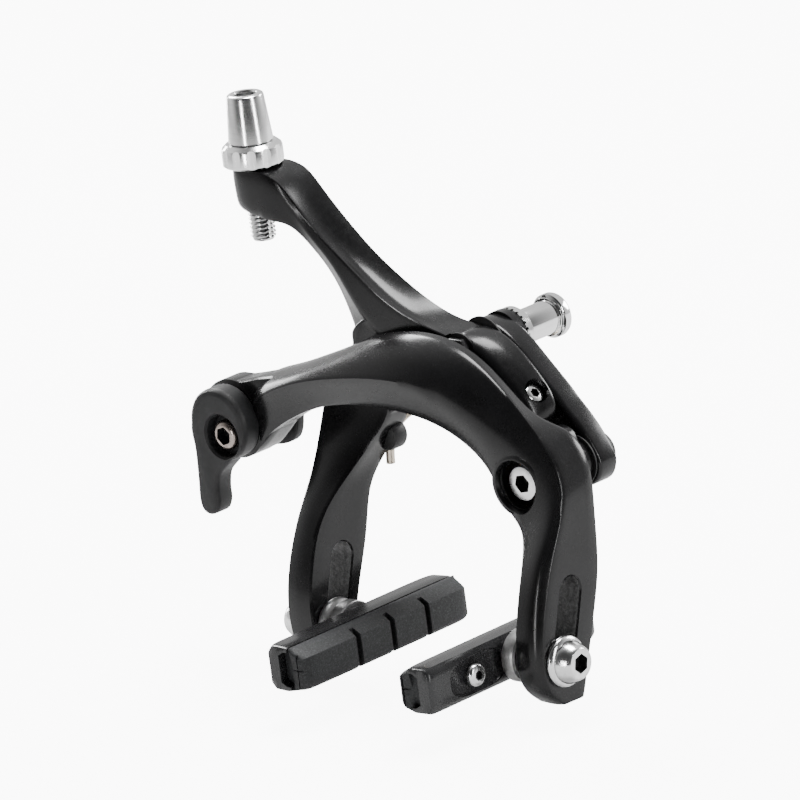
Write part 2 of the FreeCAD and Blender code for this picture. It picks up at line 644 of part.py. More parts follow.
# ---------------------------------------------------------------- return spring
WIRE = 1.1
spring_root = turned("spring_root_body", "y", [(0, -11.3), (1.2, -11.3), (1.2, -4.3), (0, -4.3)],
                     V(2.2, 0, -10.4))
node("spring_stop", spring_root)


def wire(name, points, radius):
    """Round wire swept along a rounded chain of points."""
    path = doc.addObject("Part::Feature", name + "_path")
    curve = Part.BSplineCurve()
    curve.interpolate(points)
    path.Shape = curve.toShape()
    start = points[0]
    direction = curve.tangent(curve.FirstParameter)[0]
    ring_edge = Part.makeCircle(radius, start, direction)
    pipe = Part.Wire([path.Shape]).makePipeShell([Part.Wire([ring_edge])], True, True)
    solid = doc.addObject("Part::Feature", name)
    solid.Shape = Part.Solid(pipe) if pipe.ShapeType != "Solid" else pipe
    return solid


spring_points = [V(-28.2, -16.4, -30.0), V(-28.0, -16.0, -25.0), V(-24.6, -12.0, -19.4),
                 V(-18.0, -9.3, -15.4), V(-9.0, -8.7, -13.4), V(-5.2, -8.7, -12.8)]
node("return_spring", wire("return_spring_wire", spring_points, WIRE))
node("spring_seat", cut("spring_seat_solid", box("spring_seat_block", V(-29.4, -19.4, -26.0), (4.4, 5.4, 6.0)), [
    cylinder("spring_seat_bore", "z", "1.15", "14", V(-28.1, -16.2, -33))]))

# ---------------------------------------------------------------- pads, one set per side
washer_r = size("pad_washer_radius")
pad_face = size("pad_face")
holder_back = size("holder_back")
pad_h = size("pad_height")
pad_l = size("pad_length")
pad_f = size("pad_front")
pad_low = -67.4
pad_high = pad_low + pad_h
bolt_at = V(0, pad_y, pad_z)


def extruded(name, points, length, start_y):
    """Section in the XZ plane carried along +Y."""
    body = new_body(name)
    sketch = new_sketch(body, name + "_section", "XZ_Plane", "%g" % -(start_y + length))
    add_loop(sketch, points)
    pad(body, sketch, "%g" % length, name + "_pad")
    return body


def mirrored_profile(profile, side):
    """Radius and distance outward from the middle plane, for either side."""
    return [(radius, side * along) for radius, along in profile]


for side, label, face_x in ((-1, "left", size("left_leg_outer")), (1, "right", leg_out)):
    head_blank = turned(label + "_pad_bolt_blank", "x", mirrored_profile([
        (0, holder_back - 2.6), (2.95, holder_back - 2.6), (2.95, face_x + 1.75), (5.0, face_x + 1.75),
        (5.0, face_x + 2.5), (4.3, face_x + 4.2), (3.2, face_x + 5.2), (0, face_x + 5.2)], side), bolt_at)
    socket_x = face_x + 2.4 if side > 0 else -face_x - 5.4
    node(label + "_pad_bolt", cut(label + "_pad_bolt_solid", head_blank, [
        hexagon(label + "_bolt_socket", "x", 4.0, 3.0, V(socket_x, pad_y, pad_z))]))
    node(label + "_flat_washer", turned(label + "_flat_washer_body", "x", mirrored_profile([
        (3.05, face_x + 0.12), (washer_r, face_x + 0.12), (washer_r, face_x + 1.2),
        (washer_r - 0.4, face_x + 1.7), (3.05, face_x + 1.7)], side), bolt_at))
    node(label + "_convex_washer", turned(label + "_convex_washer_body", "x", mirrored_profile([
        (3.05, leg_in - 0.12), (6.3, leg_in - 0.12), (6.3, leg_in - 1.0), (5.2, leg_in - 2.6),
        (3.05, leg_in - 3.5)], side), bolt_at))
    node(label + "_concave_washer", turned(label + "_concave_washer_body", "x", mirrored_profile([
        (3.8, leg_in - 3.75), (5.3, leg_in - 2.95), (6.2, leg_in - 3.4), (6.2, holder_back + 0.1),
        (3.8, holder_back + 0.1)], side), bolt_at))
    shell = [(side * x, z) for x, z in (
        (holder_back, pad_low + 1.2), (holder_back - 1.2, pad_low), (holder_back - 6.4, pad_low),
        (holder_back - 6.4, pad_low + 1.3), (holder_back - 5.2, pad_low + 1.3), (holder_back - 3.6, pad_low + 2.2),
        (holder_back - 3.6, pad_high - 2.2), (holder_back - 5.2, pad_high - 1.3),
        (holder_back - 6.4, pad_high - 1.3), (holder_back - 6.4, pad_high), (holder_back - 1.2, pad_high),
        (holder_back, pad_high - 1.2))]
    holder = extruded(label + "_holder_body", shell, pad_l + 2.0, pad_f - 2.0)
    end_wall = box(label + "_holder_end",
                   V(holder_back - 6.4 if side > 0 else -holder_back, pad_f + pad_l - 1.6, pad_low),
                   (6.4, 1.6, pad_h))
    set_y = pad_f + 12.2
    tools = [
        cylinder(label + "_holder_bolt_hole", "x", "3.0", "8",
                 V(holder_back - 4 if side > 0 else -holder_back - 4, pad_y, pad_z)),
        cylinder(label + "_holder_set_hole", "x", "1.55", "8",
                 V(holder_back - 4 if side > 0 else -holder_back - 4, set_y, pad_z)),
    ]
    node(label + "_pad_holder", cut(label + "_holder_solid", fuse(label + "_holder_rough", [
        holder, end_wall]), tools))
    rubber = [(side * x, z) for x, z in (
        (holder_back - 3.7, pad_low + 2.3), (holder_back - 5.25, pad_low + 1.4),
        (holder_back - 6.5, pad_low + 1.4), (holder_back - 6.5, pad_low + 0.2), (pad_face + 2.2, pad_low + 0.9),
        (pad_face, pad_low + 2.0), (pad_face, pad_high - 2.0), (pad_face + 2.2, pad_high - 0.7),
        (holder_back - 6.5, pad_high - 0.2), (holder_back - 6.5, pad_high - 1.4),
        (holder_back - 5.25, pad_high - 1.4), (holder_back - 3.7, pad_high - 2.3))]
    rubber_body = extruded(label + "_insert_body", rubber, pad_l - 1.8, pad_f)
    grooves = []
    for i in range(3):
        groove_y = pad_f + pad_l * (0.33 + 0.22 * i)
        groove_x = pad_face - 1 if side > 0 else -pad_face - 2.4
        grooves.append(box(label + "_groove_%d" % i, V(groove_x, groove_y, pad_low - 1), (3.4, 1.3, pad_h + 2)))
    node(label + "_pad_insert", cut(label + "_insert_solid", rubber_body, grooves))
    screw_blank = turned(label + "_set_screw_blank", "x", mirrored_profile([
        (0, holder_back - 3.5), (1.5, holder_back - 3.5), (1.5, holder_back + 0.1), (2.6, holder_back + 0.1),
        (2.6, holder_back + 1.2), (2.1, holder_back + 1.7), (0, holder_back + 1.7)], side),
        V(0, set_y, pad_z))
    set_socket = holder_back + 0.5 if side > 0 else -holder_back - 1.8
    node(label + "_pad_set_screw", cut(label + "_set_screw_solid", screw_blank, [
        hexagon(label + "_set_socket", "x", 2.0, 1.3, V(set_socket, set_y, pad_z))]))

# ---------------------------------------------------------------- checks and export
doc.recompute()
for obj in doc.Objects:
    if "Invalid" in obj.State or "Error" in obj.State:
        raise RuntimeError("bad state: " + obj.Name)
for name, obj in NODES.items():
    shape = obj.Shape
    if shape.isNull() or not shape.isValid() or not shape.Solids:
        raise RuntimeError("bad shape: " + name)
    shape.exportStep("parts/%s.step" % name)
    box_ = shape.BoundBox
    print("%-22s solids %d  X %7.2f %7.2f  Y %7.2f %7.2f  Z %7.2f %7.2f" % (
        name, len(shape.Solids), box_.XMin, box_.XMax, box_.YMin, box_.YMax, box_.ZMin, box_.ZMax))
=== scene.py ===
import bpy
import bmesh
import math
from mathutils import Matrix, Vector


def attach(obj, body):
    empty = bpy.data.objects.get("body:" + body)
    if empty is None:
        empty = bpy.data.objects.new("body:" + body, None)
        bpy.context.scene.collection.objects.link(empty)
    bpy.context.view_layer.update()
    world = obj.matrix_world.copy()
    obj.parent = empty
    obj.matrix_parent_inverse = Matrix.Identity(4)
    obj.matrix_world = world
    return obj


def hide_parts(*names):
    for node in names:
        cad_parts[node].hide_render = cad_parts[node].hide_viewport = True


# Looks of a dual-pivot rim brake caliper. Lengths below are millimetres, turned into metres by MM.
MM = 0.001
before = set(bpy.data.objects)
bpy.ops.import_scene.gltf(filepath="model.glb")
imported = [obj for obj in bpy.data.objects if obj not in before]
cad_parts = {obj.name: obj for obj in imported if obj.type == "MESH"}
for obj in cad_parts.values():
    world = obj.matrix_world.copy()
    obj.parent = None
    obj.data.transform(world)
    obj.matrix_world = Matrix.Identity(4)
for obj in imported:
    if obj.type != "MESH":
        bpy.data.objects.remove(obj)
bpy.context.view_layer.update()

PIVOT = (24.0, -25.0)          # side pivot (x, z)
LEVER = (-64.1, -18.9)         # quick release disc centre (x, z)
ANCHOR = (-62.9, -21.4)        # cable anchor bolt (x, z)
HEAD = (-57.8, -19.0)          # cable adjuster axis (x, y)
PAD_BOLT = (-38.6, -62.0)      # pad bolt (y, z)
SLANT = math.radians(18.5)     # lean of the pad slots
SLOT_HALF = 3.4                # half the width of a pad slot
SLOT_TRAVEL = 15.6             # way from the lowest to the highest bolt centre in a slot
CONTACT = (13.4, 0, -18.7)     # contact pin
SCREW_HEAD = (17.6, -15.2, -8.6)   # face of the centring screw
ORIGIN = (0, 0, 0)
PIVOT_AT, LEVER_AT, ANCHOR_AT = ((x, 0, z) for x, z in (PIVOT, LEVER, ANCHOR))
HEAD_AT = (*HEAD, 0)
# Directions across and along the tail of the rear arm, as (x, z).
ACROSS_TAIL, ALONG_TAIL = Vector((0.793, 0.609)), Vector((0.609, -0.793))


# ---------------------------------------------------------------- mesh helpers
def link(name, data):
    obj = bpy.data.objects.new(name, data)
    bpy.context.scene.collection.objects.link(obj)
    return obj


def from_lists(name, verts, faces):
    mesh = bpy.data.meshes.new(name)
    mesh.from_pydata([Vector(v) * MM for v in verts], [], faces)
    mesh.update()
    return link(name, mesh)


def clean(obj):
    """Merge doubles, dissolve degenerate edges and faces and point the faces outwards."""
    bm = bmesh.new()
    bm.from_mesh(obj.data)
    bmesh.ops.remove_doubles(bm, verts=bm.verts, dist=0.00001)
    bmesh.ops.dissolve_degenerate(bm, edges=bm.edges, dist=0.000002)
    bmesh.ops.recalc_face_normals(bm, faces=bm.faces)
    bm.to_mesh(obj.data)
    bm.free()
    return obj


def bake(obj):
    """Apply every modifier on the object."""
    bpy.context.view_layer.update()
    graph = bpy.context.evaluated_depsgraph_get()
    mesh = bpy.data.meshes.new_from_object(obj.evaluated_get(graph))
    obj.modifiers.clear()
    old = obj.data
    obj.data = mesh
    bpy.data.meshes.remove(old)
    return obj


def smooth(obj, angle=35):
    obj.data.shade_smooth()
    obj.data.set_sharp_from_angle(angle=math.radians(angle))


def boolean(obj, others, mode):
    for other in others:
        mod = obj.modifiers.new("b", "BOOLEAN")
        mod.operation = mode
        mod.solver = "EXACT"
        mod.object = other
        bake(obj)
        bpy.data.objects.remove(other)
    return obj


def bevel(obj, width, segments=3, angle=40):
    mod = obj.modifiers.new("bevel", "BEVEL")
    mod.width = width * MM
    mod.segments = segments
    mod.limit_method = "ANGLE"
    mod.angle_limit = math.radians(angle)
    mod.use_clamp_overlap = True
    return bake(obj)


def cage(name, sections, creases, levels=3, end_crease=0.8):
    """Closed tube through rings of points, softened by subdivision.

    creases holds one entry per column: a value, or a list with a value for each ring.
    """
    count = len(sections[0])
    verts = [p for ring in sections for p in ring]
    faces = []
    for i in range(len(sections) - 1):
        for j in range(count):
            k = (j + 1) % count
            faces.append((i * count + j, i * count + k, (i + 1) * count + k, (i + 1) * count + j))
    faces.append(tuple(range(count))[::-1])
    last = (len(sections) - 1) * count
    faces.append(tuple(range(last, last + count)))
    obj = from_lists(name, verts, faces)
    attr = obj.data.attributes.new("crease_edge", "FLOAT", "EDGE")
    for edge in obj.data.edges:
        a, b = sorted(edge.vertices)
        ring_a, ring_b = a // count, b // count
        if ring_a != ring_b:
            value = creases[a % count]
            attr.data[edge.index].value = value[ring_a] if isinstance(value, list) else value
        elif ring_a in (0, len(sections) - 1):
            attr.data[edge.index].value = end_crease
    mod = obj.modifiers.new("sub", "SUBSURF")
    mod.levels = levels
    mod.render_levels = levels
    bake(obj)
    if "crease_edge" in obj.data.attributes:
        obj.data.attributes.remove(obj.data.attributes["crease_edge"])
    return clean(obj)


def lathe(name, axis, profile, centre, steps=64):
    """Turn a profile of (radius, distance along the axis) about an axis through centre.

    A profile that starts at radius 0 is solid and ends in poles. Any other one closes on itself.
    """
    solid = profile[0][0] == 0
    verts, faces, rings = [], [], []
    for radius, along in profile:
        ring = []
        for i in range(steps if radius else 1):
            turn = 2 * math.pi * i / steps
            a, b = radius * math.cos(turn), radius * math.sin(turn)
            point = {"x": (along, a, b), "y": (a, along, b), "z": (a, b, along)}[axis]
            ring.append(len(verts))
            verts.append(tuple(p + q for p, q in zip(point, centre)))
        rings.append(ring)
    pairs = list(zip(rings, rings[1:])) + ([] if solid else [(rings[-1], rings[0])])
    for low, high in pairs:
        for i in range(steps):
            j = (i + 1) % steps
            if len(low) == 1:
                faces.append((low[0], high[i], high[j]))
            elif len(high) == 1:
                faces.append((low[i], high[0], low[j]))
            else:
                faces.append((low[i], high[i], high[j], low[j]))
    return clean(from_lists(name, verts, faces))


def rod(name, axis, radius, low, high, centre, steps):
    """Plain cylinder between two levels along an axis."""
    return lathe(name, axis, [(0, low), (radius, low), (radius, high), (0, high)], centre, steps)


def prism(name, outline, plane, low, high):
    """Extrude a 2D outline. plane xz runs along Y, yz along X, xy along Z."""
    verts = []
    for level in (low, high):
        for a, b in outline:
            verts.append({"xz": (a, level, b), "yz": (level, a, b), "xy": (a, b, level)}[plane])
    count = len(outline)
    faces = [tuple(range(count)), tuple(range(2 * count - 1, count - 1, -1))]
    for i in range(count):
        j = (i + 1) % count
        faces.append((i, j, count + j, count + i))
    return clean(from_lists(name, verts, faces))


def curve_through(points, per_span=6):
    """Closed Catmull-Rom curve through 2D points."""
    out = []
    count = len(points)
    for i in range(count):
        p0, p1, p2, p3 = (Vector(points[(i + k - 1) % count]) for k in range(4))
        for step in range(per_span):
            t = step / per_span
            out.append(tuple(0.5 * (2 * p1 + (p2 - p0) * t + (2 * p0 - 5 * p1 + 4 * p2 - p3) * t * t
                                    + (3 * p1 - p0 - 3 * p2 + p3) * t ** 3)))
    return out


def hexagon(across_flats, centre=(0, 0), turn=0.0):
    """Corners of a hexagon in a plane."""
    radius = across_flats / math.sqrt(3)
    return [(centre[0] + radius * math.cos(turn + math.pi * i / 3),
             centre[1] + radius * math.sin(turn + math.pi * i / 3)) for i in range(6)]


ARC_STEPS = 16      # parts of each rounded slot end


def slot_outline(half):
    """Rounded slot along the slanted leg, as (y, z)."""
    points = []
    for end, start in ((SLOT_TRAVEL, 0.0), (0.0, math.pi)):
        for i in range(ARC_STEPS + 1):
            turn = start + math.pi * i / ARC_STEPS
            across = half * math.cos(turn)
            along = end + half * math.sin(turn)
            points.append((PAD_BOLT[0] + across * math.cos(SLANT) + along * math.sin(SLANT),
                           PAD_BOLT[1] - across * math.sin(SLANT) + along * math.cos(SLANT)))
    return points


def slot_flare(name, inner_x, outer_x):
    """Cutter that widens the mouth of a pad slot between two depths."""
    rings = [[(x, y, z) for y, z in slot_outline(half)]
             for x, half in ((inner_x, SLOT_HALF - 0.05), (outer_x, SLOT_HALF + 0.9))]
    return cage(name, rings, [0] * len(rings[0]), 0)


# ---------------------------------------------------------------- materials
def new_material(name):
    mat = bpy.data.materials.new(name)
    mat.use_nodes = True
    tree = mat.node_tree
    tree.nodes.clear()
    out = tree.nodes.new("ShaderNodeOutputMaterial")
    shader = tree.nodes.new("ShaderNodeBsdfPrincipled")
    tree.links.new(shader.outputs["BSDF"], out.inputs["Surface"])
    coord = tree.nodes.new("ShaderNodeTexCoord")
    return mat, tree, shader, coord


def noise(tree, coord, scale, detail=4.0, stretch=(1, 1, 1), rough=0.55):
    mapping = tree.nodes.new("ShaderNodeMapping")
    mapping.inputs["Scale"].default_value = stretch
    tree.links.new(coord.outputs["Object"], mapping.inputs["Vector"])
    node = tree.nodes.new("ShaderNodeTexNoise")
    node.inputs["Scale"].default_value = scale
    node.inputs["Detail"].default_value = detail
    node.inputs["Roughness"].default_value = rough
    tree.links.new(mapping.outputs["Vector"], node.inputs["Vector"])
    return node.outputs["Fac"]


def ramp(tree, source, stops):
    node = tree.nodes.new("ShaderNodeValToRGB")
    elements = node.color_ramp.elements
    while len(elements) < len(stops):
        elements.new(0.5)
    for element, (pos, value) in zip(elements, stops):
        element.position = pos
        colour = value if isinstance(value, tuple) else (value, value, value)
        element.color = (*colour, 1)
    tree.links.new(source, node.inputs["Fac"])
    return node.outputs["Color"]


def bump(tree, shader, height, strength, distance):
    node = tree.nodes.new("ShaderNodeBump")
    node.inputs["Strength"].default_value = strength
    node.inputs["Distance"].default_value = distance
    tree.links.new(height, node.inputs["Height"])
    tree.links.new(node.outputs["Normal"], shader.inputs["Normal"])


def painted(name, dark, light, rough, spread, coat, grain=900.0):
    """Painted or anodised metal: fine grain, faint tone shift, slightly uneven sheen."""
    mat, tree, shader, coord = new_material(name)
    tone = noise(tree, coord, 140.0, 3.0)
    tree.links.new(ramp(tree, tone, [(0.35, dark), (0.65, light)]), shader.inputs["Base Color"])
    fine = noise(tree, coord, grain, 5.0)
    tree.links.new(ramp(tree, fine, [(0.3, rough - spread), (0.7, rough + spread)]),
                   shader.inputs["Roughness"])
    shader.inputs["Coat Weight"].default_value = coat
    shader.inputs["Coat Roughness"].default_value = 0.12
    shader.inputs["Specular IOR Level"].default_value = 0.22
    bump(tree, shader, noise(tree, coord, grain * 0.5, 2.0), 0.03, 0.00002)
    return mat


def metal(name, dark, light, rough, spread, stretch, scale=700.0, bump_strength=0.12):
    """Turned or brushed metal: tone and sheen streaks along one direction."""
    mat, tree, shader, coord = new_material(name)
    streak = noise(tree, coord, scale, 4.0, stretch)
    cloud = noise(tree, coord, 220.0, 2.0)
    mix = tree.nodes.new("ShaderNodeMath")
    mix.operation = "MULTIPLY_ADD"
    mix.inputs[1].default_value = 0.7
    tree.links.new(streak, mix.inputs[0])
    scaled = tree.nodes.new("ShaderNodeMath")
    scaled.operation = "MULTIPLY"
    scaled.inputs[1].default_value = 0.3
    tree.links.new(cloud, scaled.inputs[0])
    tree.links.new(scaled.outputs[0], mix.inputs[2])
    tree.links.new(ramp(tree, mix.outputs[0], [(0.32, dark), (0.66, light)]),
                   shader.inputs["Base Color"])
    tree.links.new(ramp(tree, mix.outputs[0], [(0.3, rough + spread), (0.7, rough - spread)]),
                   shader.inputs["Roughness"])
    shader.inputs["Metallic"].default_value = 1.0
    bump(tree, shader, streak, bump_strength, 0.00003)
    return mat


def rubber(name):
    mat, tree, shader, coord = new_material(name)
    speck = noise(tree, coord, 2400.0, 6.0, (1, 1, 1), 0.75)
    tree.links.new(ramp(tree, speck, [(0.36, (0.006, 0.0065, 0.007)), (0.55, (0.015, 0.016, 0.017)),
                                      (0.72, (0.05, 0.053, 0.055))]), shader.inputs["Base Color"])
    tree.links.new(ramp(tree, speck, [(0.3, 0.66), (0.7, 0.48)]), shader.inputs["Roughness"])
    shader.inputs["Specular IOR Level"].default_value = 0.3
    bump(tree, shader, speck, 0.35, 0.0001)
    return mat


def cast(name):
    """Rough cast inside of the slots."""
    mat, tree, shader, coord = new_material(name)
    lumps = noise(tree, coord, 900.0, 6.0, (1, 1, 1), 0.7)
    tree.links.new(ramp(tree, lumps, [(0.35, 0.016), (0.7, 0.10)]), shader.inputs["Base Color"])
    tree.links.new(ramp(tree, lumps, [(0.3, 0.5), (0.7, 0.28)]), shader.inputs["Roughness"])
    bump(tree, shader, lumps, 0.8, 0.00025)
    return mat


GLOSS = painted("gloss_black_paint", (0.0032, 0.0032, 0.0034), (0.0056, 0.0056, 0.006), 0.25, 0.03,
                0.12)
SATIN = painted("satin_black_paint", (0.014, 0.014, 0.0145), (0.021, 0.021, 0.022), 0.46, 0.05, 0.0,
                1500.0)
HOLDER = painted("holder_black", (0.010, 0.010, 0.0105), (0.017, 0.017, 0.018), 0.27, 0.05, 0.3,
                 1200.0)
NYLON = painted("black_nylon", (0.014, 0.014, 0.014), (0.024, 0.024, 0.025), 0.5, 0.06, 0.0, 1100.0)
STEEL = metal("bright_steel", 0.62, 0.80, 0.20, 0.05, (1, 1, 1), 900.0)
FACE_STEEL = metal("faced_steel", 0.74, 0.88, 0.30, 0.05, (1, 1, 1), 900.0)
CHROME = metal("chrome_plate", 0.74, 0.84, 0.10, 0.03, (1, 0.05, 1), 900.0, 0.05)
ALU = metal("polished_aluminium", 0.78, 0.90, 0.19, 0.05, (0.12, 0.12, 4.0), 650.0, 0.10)
DARK = metal("dark_steel", (0.24, 0.205, 0.185), (0.42, 0.36, 0.33), 0.27, 0.05, (1, 1, 1), 800.0)
SPRING = metal("bronze_wire", (0.42, 0.36, 0.29), (0.62, 0.55, 0.46), 0.28, 0.06, (1, 1, 0.1),
               900.0)
BRONZE = metal("bronze_bushing", (0.40, 0.26, 0.12), (0.58, 0.40, 0.20), 0.34, 0.06, (1, 1, 1),
               700.0)
RUBBER = rubber("pad_rubber_compound")
CAST = cast("cast_slot_wall")
# Matt zinc for the pad washers, with a base colour darkened as painted shade for washers that sit
# in shadow behind the legs.
ZINC_AND_SHADE = metal("zinc_washer_with_painted_shade", 0.26, 0.42, 0.40, 0.06, (1, 1, 1), 900.0)
# Painted shade: near-black steel that stands in for the shade inside hexagon sockets.
SOCKET_SHADE = metal("socket_painted_shade", 0.035, 0.09, 0.42, 0.06, (1, 1, 1), 900.0)


def socket(obj, axis, centre, radius, low, high):
    """Paint shade into a hexagon socket: its walls and floor between two levels along an axis get
    the near-black painted-shade material.
    """
    obj.data.materials.append(SOCKET_SHADE)
    index = len(obj.data.materials) - 1
    across = [i for i in range(3) if i != axis]
    for poly in obj.data.polygons:
        c = poly.center / MM
        if low < c[axis] < high and math.hypot(c[across[0]] - centre[0],
            c[across[1]] - centre[1]) < radius:
            poly.material_index = index


def dress(obj, material):
    obj.data.materials.clear()
    obj.data.materials.append(material)


def place(obj, body, node_name, material, angle=35):
    """Finish one piece: shading, material, body it rides on and CAD node it stands for."""
    smooth(obj, angle)
    dress(obj, material)
    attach(obj, body)
    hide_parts(node_name)


# ---------------------------------------------------------------- front arm
# Columns: outer rear, outer front, front slope, ridge, inner front, inner rear.
C_SECTIONS = [
    [(-58, -23, -9.4), (-58, -27.4, -9.8), (-58, -30.0, -12),
     (-58, -30.6, -16), (-58, -30.2, -26.3), (-58, -23, -26.8)],
    [(-52, -23.3, -6.9), (-52, -27.5, -7.2), (-52, -31.6, -8.8),
     (-51.8, -33.6, -11.2), (-52.6, -30.8, -20.8), (-52.8, -23.3, -21)],
    [(-44.5, -23.3, -5.1), (-44.3, -27.5, -5.0), (-43.8, -32.3, -6.0),
     (-43.4, -34.6, -7.8), (-44.5, -30.5, -16.4), (-44.8, -23.3, -16.4)],
    [(-37.1, -23.3, -2.4), (-36.9, -27.3, -2.5), (-36.8, -32.2, -3.8),
     (-36.7, -34.7, -5.8), (-36.8, -30.5, -13.3), (-37, -23.3, -13.3)],
    [(-29.5, -23.3, 0.2), (-29.2, -27, 0.3), (-29, -32, -1.7),
     (-28.7, -34.7, -4.4), (-28.5, -30.5, -11.7), (-28.5, -23.3, -11.7)],
    [(-22, -23.3, 3.6), (-21, -26.6, 3.5), (-21, -31.8, 0.4),
     (-20.7, -34.7, -3.3), (-21, -30.5, -11.3), (-21, -23.3, -11.3)],
    [(-14, -23.3, 5.2), (-12.8, -26.3, 5.3), (-12.6, -31.8, 1.8),
     (-12.5, -34.7, -2.7), (-13, -30.5, -11.4), (-13, -23.3, -11.4)],
    [(-6.1, -23.3, 6.0), (-4, -26, 5.7), (-4.4, -31.6, 2.4),
     (-4.8, -34.5, -2.8), (-5, -30.5, -12.2), (-5, -23.3, -12.2)],
    [(2.5, -23.3, 5.0), (5, -26, 4.2), (4.5, -31.4, 0.9),
     (3, -34.2, -4.4), (2.2, -30.5, -14), (2.2, -23.3, -14)],
    [(10.2, -23.3, 1.6), (13, -26.6, 0.5), (12, -31.2, -3),
     (9.8, -33.8, -7.6), (8.2, -30.5, -16.7), (8.2, -23.3, -16.7)],
    [(17.2, -23.3, -3.9), (20.6, -27.5, -4.9), (18.8, -31, -8),
     (16, -33.2, -12), (13, -30.5, -20.2), (13, -23.3, -20.4)],
    [(24.6, -23.3, -11.2), (26.6, -28.4, -10.0), (25.0, -31, -13.2),
     (21.3, -32.2, -17.2), (16, -30.8, -23.8), (16, -23.3, -24)],
    [(31.9, -20.2, -13.4), (31.4, -29.4, -14.4), (29.6, -31.2, -17.6),
     (26, -31.9, -20.5), (17.6, -31, -27.6), (17.6, -23, -28)],
    [(35.6, -20.0, -18.2), (35.6, -30.4, -19.4), (33.2, -31.8, -22.2),
     (29.5, -32.0, -24.8), (19.4, -31.2, -30.6), (19.6, -22.6, -31)],
    [(37.7, -20.6, -23.6), (38.2, -31.6, -25.0), (35.6, -33.2, -27),
     (32, -33.5, -29), (22.4, -32, -33), (22.4, -22.4, -33.8)],
    [(38.2, -21.8, -31), (38.6, -34.1, -31.5), (36.8, -36, -32.4),
     (34, -36.6, -33.4), (26.2, -33.8, -35), (26, -22.4, -36.5)],
    [(38.5, -22.6, -38), (38.6, -37.8, -38.2), (37.6, -39.8, -38.4),
     (35.4, -40.9, -38.6), (29.6, -38.8, -39.4), (29.8, -23, -40)],
    [(38.5, -23.3, -45), (38.5, -40.6, -45), (37.6, -42.2, -45),
     (35.4, -43.2, -45), (30.9, -42.6, -45.2), (31.2, -23.6, -45.6)],
    [(38.5, -25.4, -51.5), (38.5, -43.0, -51.5), (37.6, -44.4, -51.5),
     (35.4, -45.3, -51.5), (31.0, -44.8, -51.6), (31.3, -25.4, -51.6)],
    [(38.5, -28.2, -59), (38.5, -44.9, -59), (37.6, -46.0, -59),
     (35.4, -46.8, -59), (31.0, -46.4, -59), (31.3, -28.2, -59)],
    [(38.5, -30.6, -65), (38.5, -45.2, -64.5), (37.6, -46.2, -64.5),
     (35.4, -46.8, -64.5), (31.0, -46.4, -64.5), (31.3, -30.6, -65)],
    [(38.5, -32.2, -69.6), (38.5, -43.6, -68.6), (37.5, -44.4, -68.6),
     (35.4, -44.8, -68.6), (31.1, -44.4, -68.6), (31.3, -32.2, -69.6)],
    [(38.4, -33.4, -72.2), (38.4, -39.8, -72.0), (37.2, -40.4, -72.0),
     (35.2, -40.6, -72.0), (31.4, -40.2, -72.0), (31.6, -33.4, -72.2)],
]
SPANS = len(C_SECTIONS)


def fade(values):
    """Spread a short list of (section, crease) keys over all the spans."""
    out = []
    for i in range(SPANS):
        before = max((k for k in values if k[0] <= i), key=lambda k: k[0])
        after = min((k for k in values if k[0] >= i), key=lambda k: k[0])
        span = after[0] - before[0]
        share = 0 if span == 0 else (i - before[0]) / span
        out.append(before[1] + (after[1] - before[1]) * share)
    return out


C_CREASES = [
    0.85,
    fade([(0, 0.3), (5, 0.2), (7, 0.3), (10, 0.5), (15, 0.5), (22, 0.5)]),
    0.0,
    fade([(0, 0.6), (2, 0.85), (6, 0.7), (8, 0.2), (10, 0.0), (14, 0.0), (16, 0.1), (22, 0.1)]),
    fade([(0, 0.8), (9, 0.75), (12, 0.5), (16, 0.8), (18, 0.92), (22, 0.92)]),
    0.9,
]
c_arm = cage("front_arm", C_SECTIONS, C_CREASES, 3)

collar = lathe("collar", "y", [
    (0, -30.75), (8.6, -30.75), (9.4, -30.1), (9.4, -24.0), (8.4, -21.5), (0, -21.5)], LEVER_AT, 72)
NECK = [
    [(-66, -22.3, -10.4), (-66, -30.4, -10.4), (-66, -30.4, -27.2), (-66, -22.3, -27.2)],
    [(-60, -22.3, -9.3), (-60, -30.4, -9.3), (-60, -30.4, -27.7), (-60, -22.3, -27.7)],
    [(-55.5, -22.6, -8.2), (-55.5, -30.8, -8.0), (-55.6, -30.6, -24.8), (-55.6, -22.6, -25.2)],
    [(-50, -23.4, -6.9), (-50, -30.4, -7.6), (-50, -30.2, -19.2), (-50, -23.4, -19.8)],
]
neck = cage("neck", NECK, [0.5] * 4, 3)
pivot_boss = lathe("pivot_boss", "y", [
    (0, -31.9), (6.6, -31.9), (7.3, -31.6), (7.6, -31.0), (7.7, -24.0), (5.3, -22.0), (5.2, -11.7),
    (0, -11.7)], PIVOT_AT, 72)
pivot_block = bevel(prism("pivot_block", curve_through([
    (20.0, -17.6), (25.2, -16.9), (27.3, -21.3), (28.4, -25.4), (28.5, -30.0), (24.0, -32.2),
    (18.0, -30.0)], 5), "xz", -26, -12.4), 0.7, 3)
contact_boss = lathe("contact_boss", "y", [
    (0, -26.0), (3.6, -26.0), (3.6, -19.8), (3.2, -19.4), (0, -19.4)], CONTACT, 40)
c_arm = boolean(c_arm, [collar, neck, pivot_boss, pivot_block, contact_boss], "UNION")

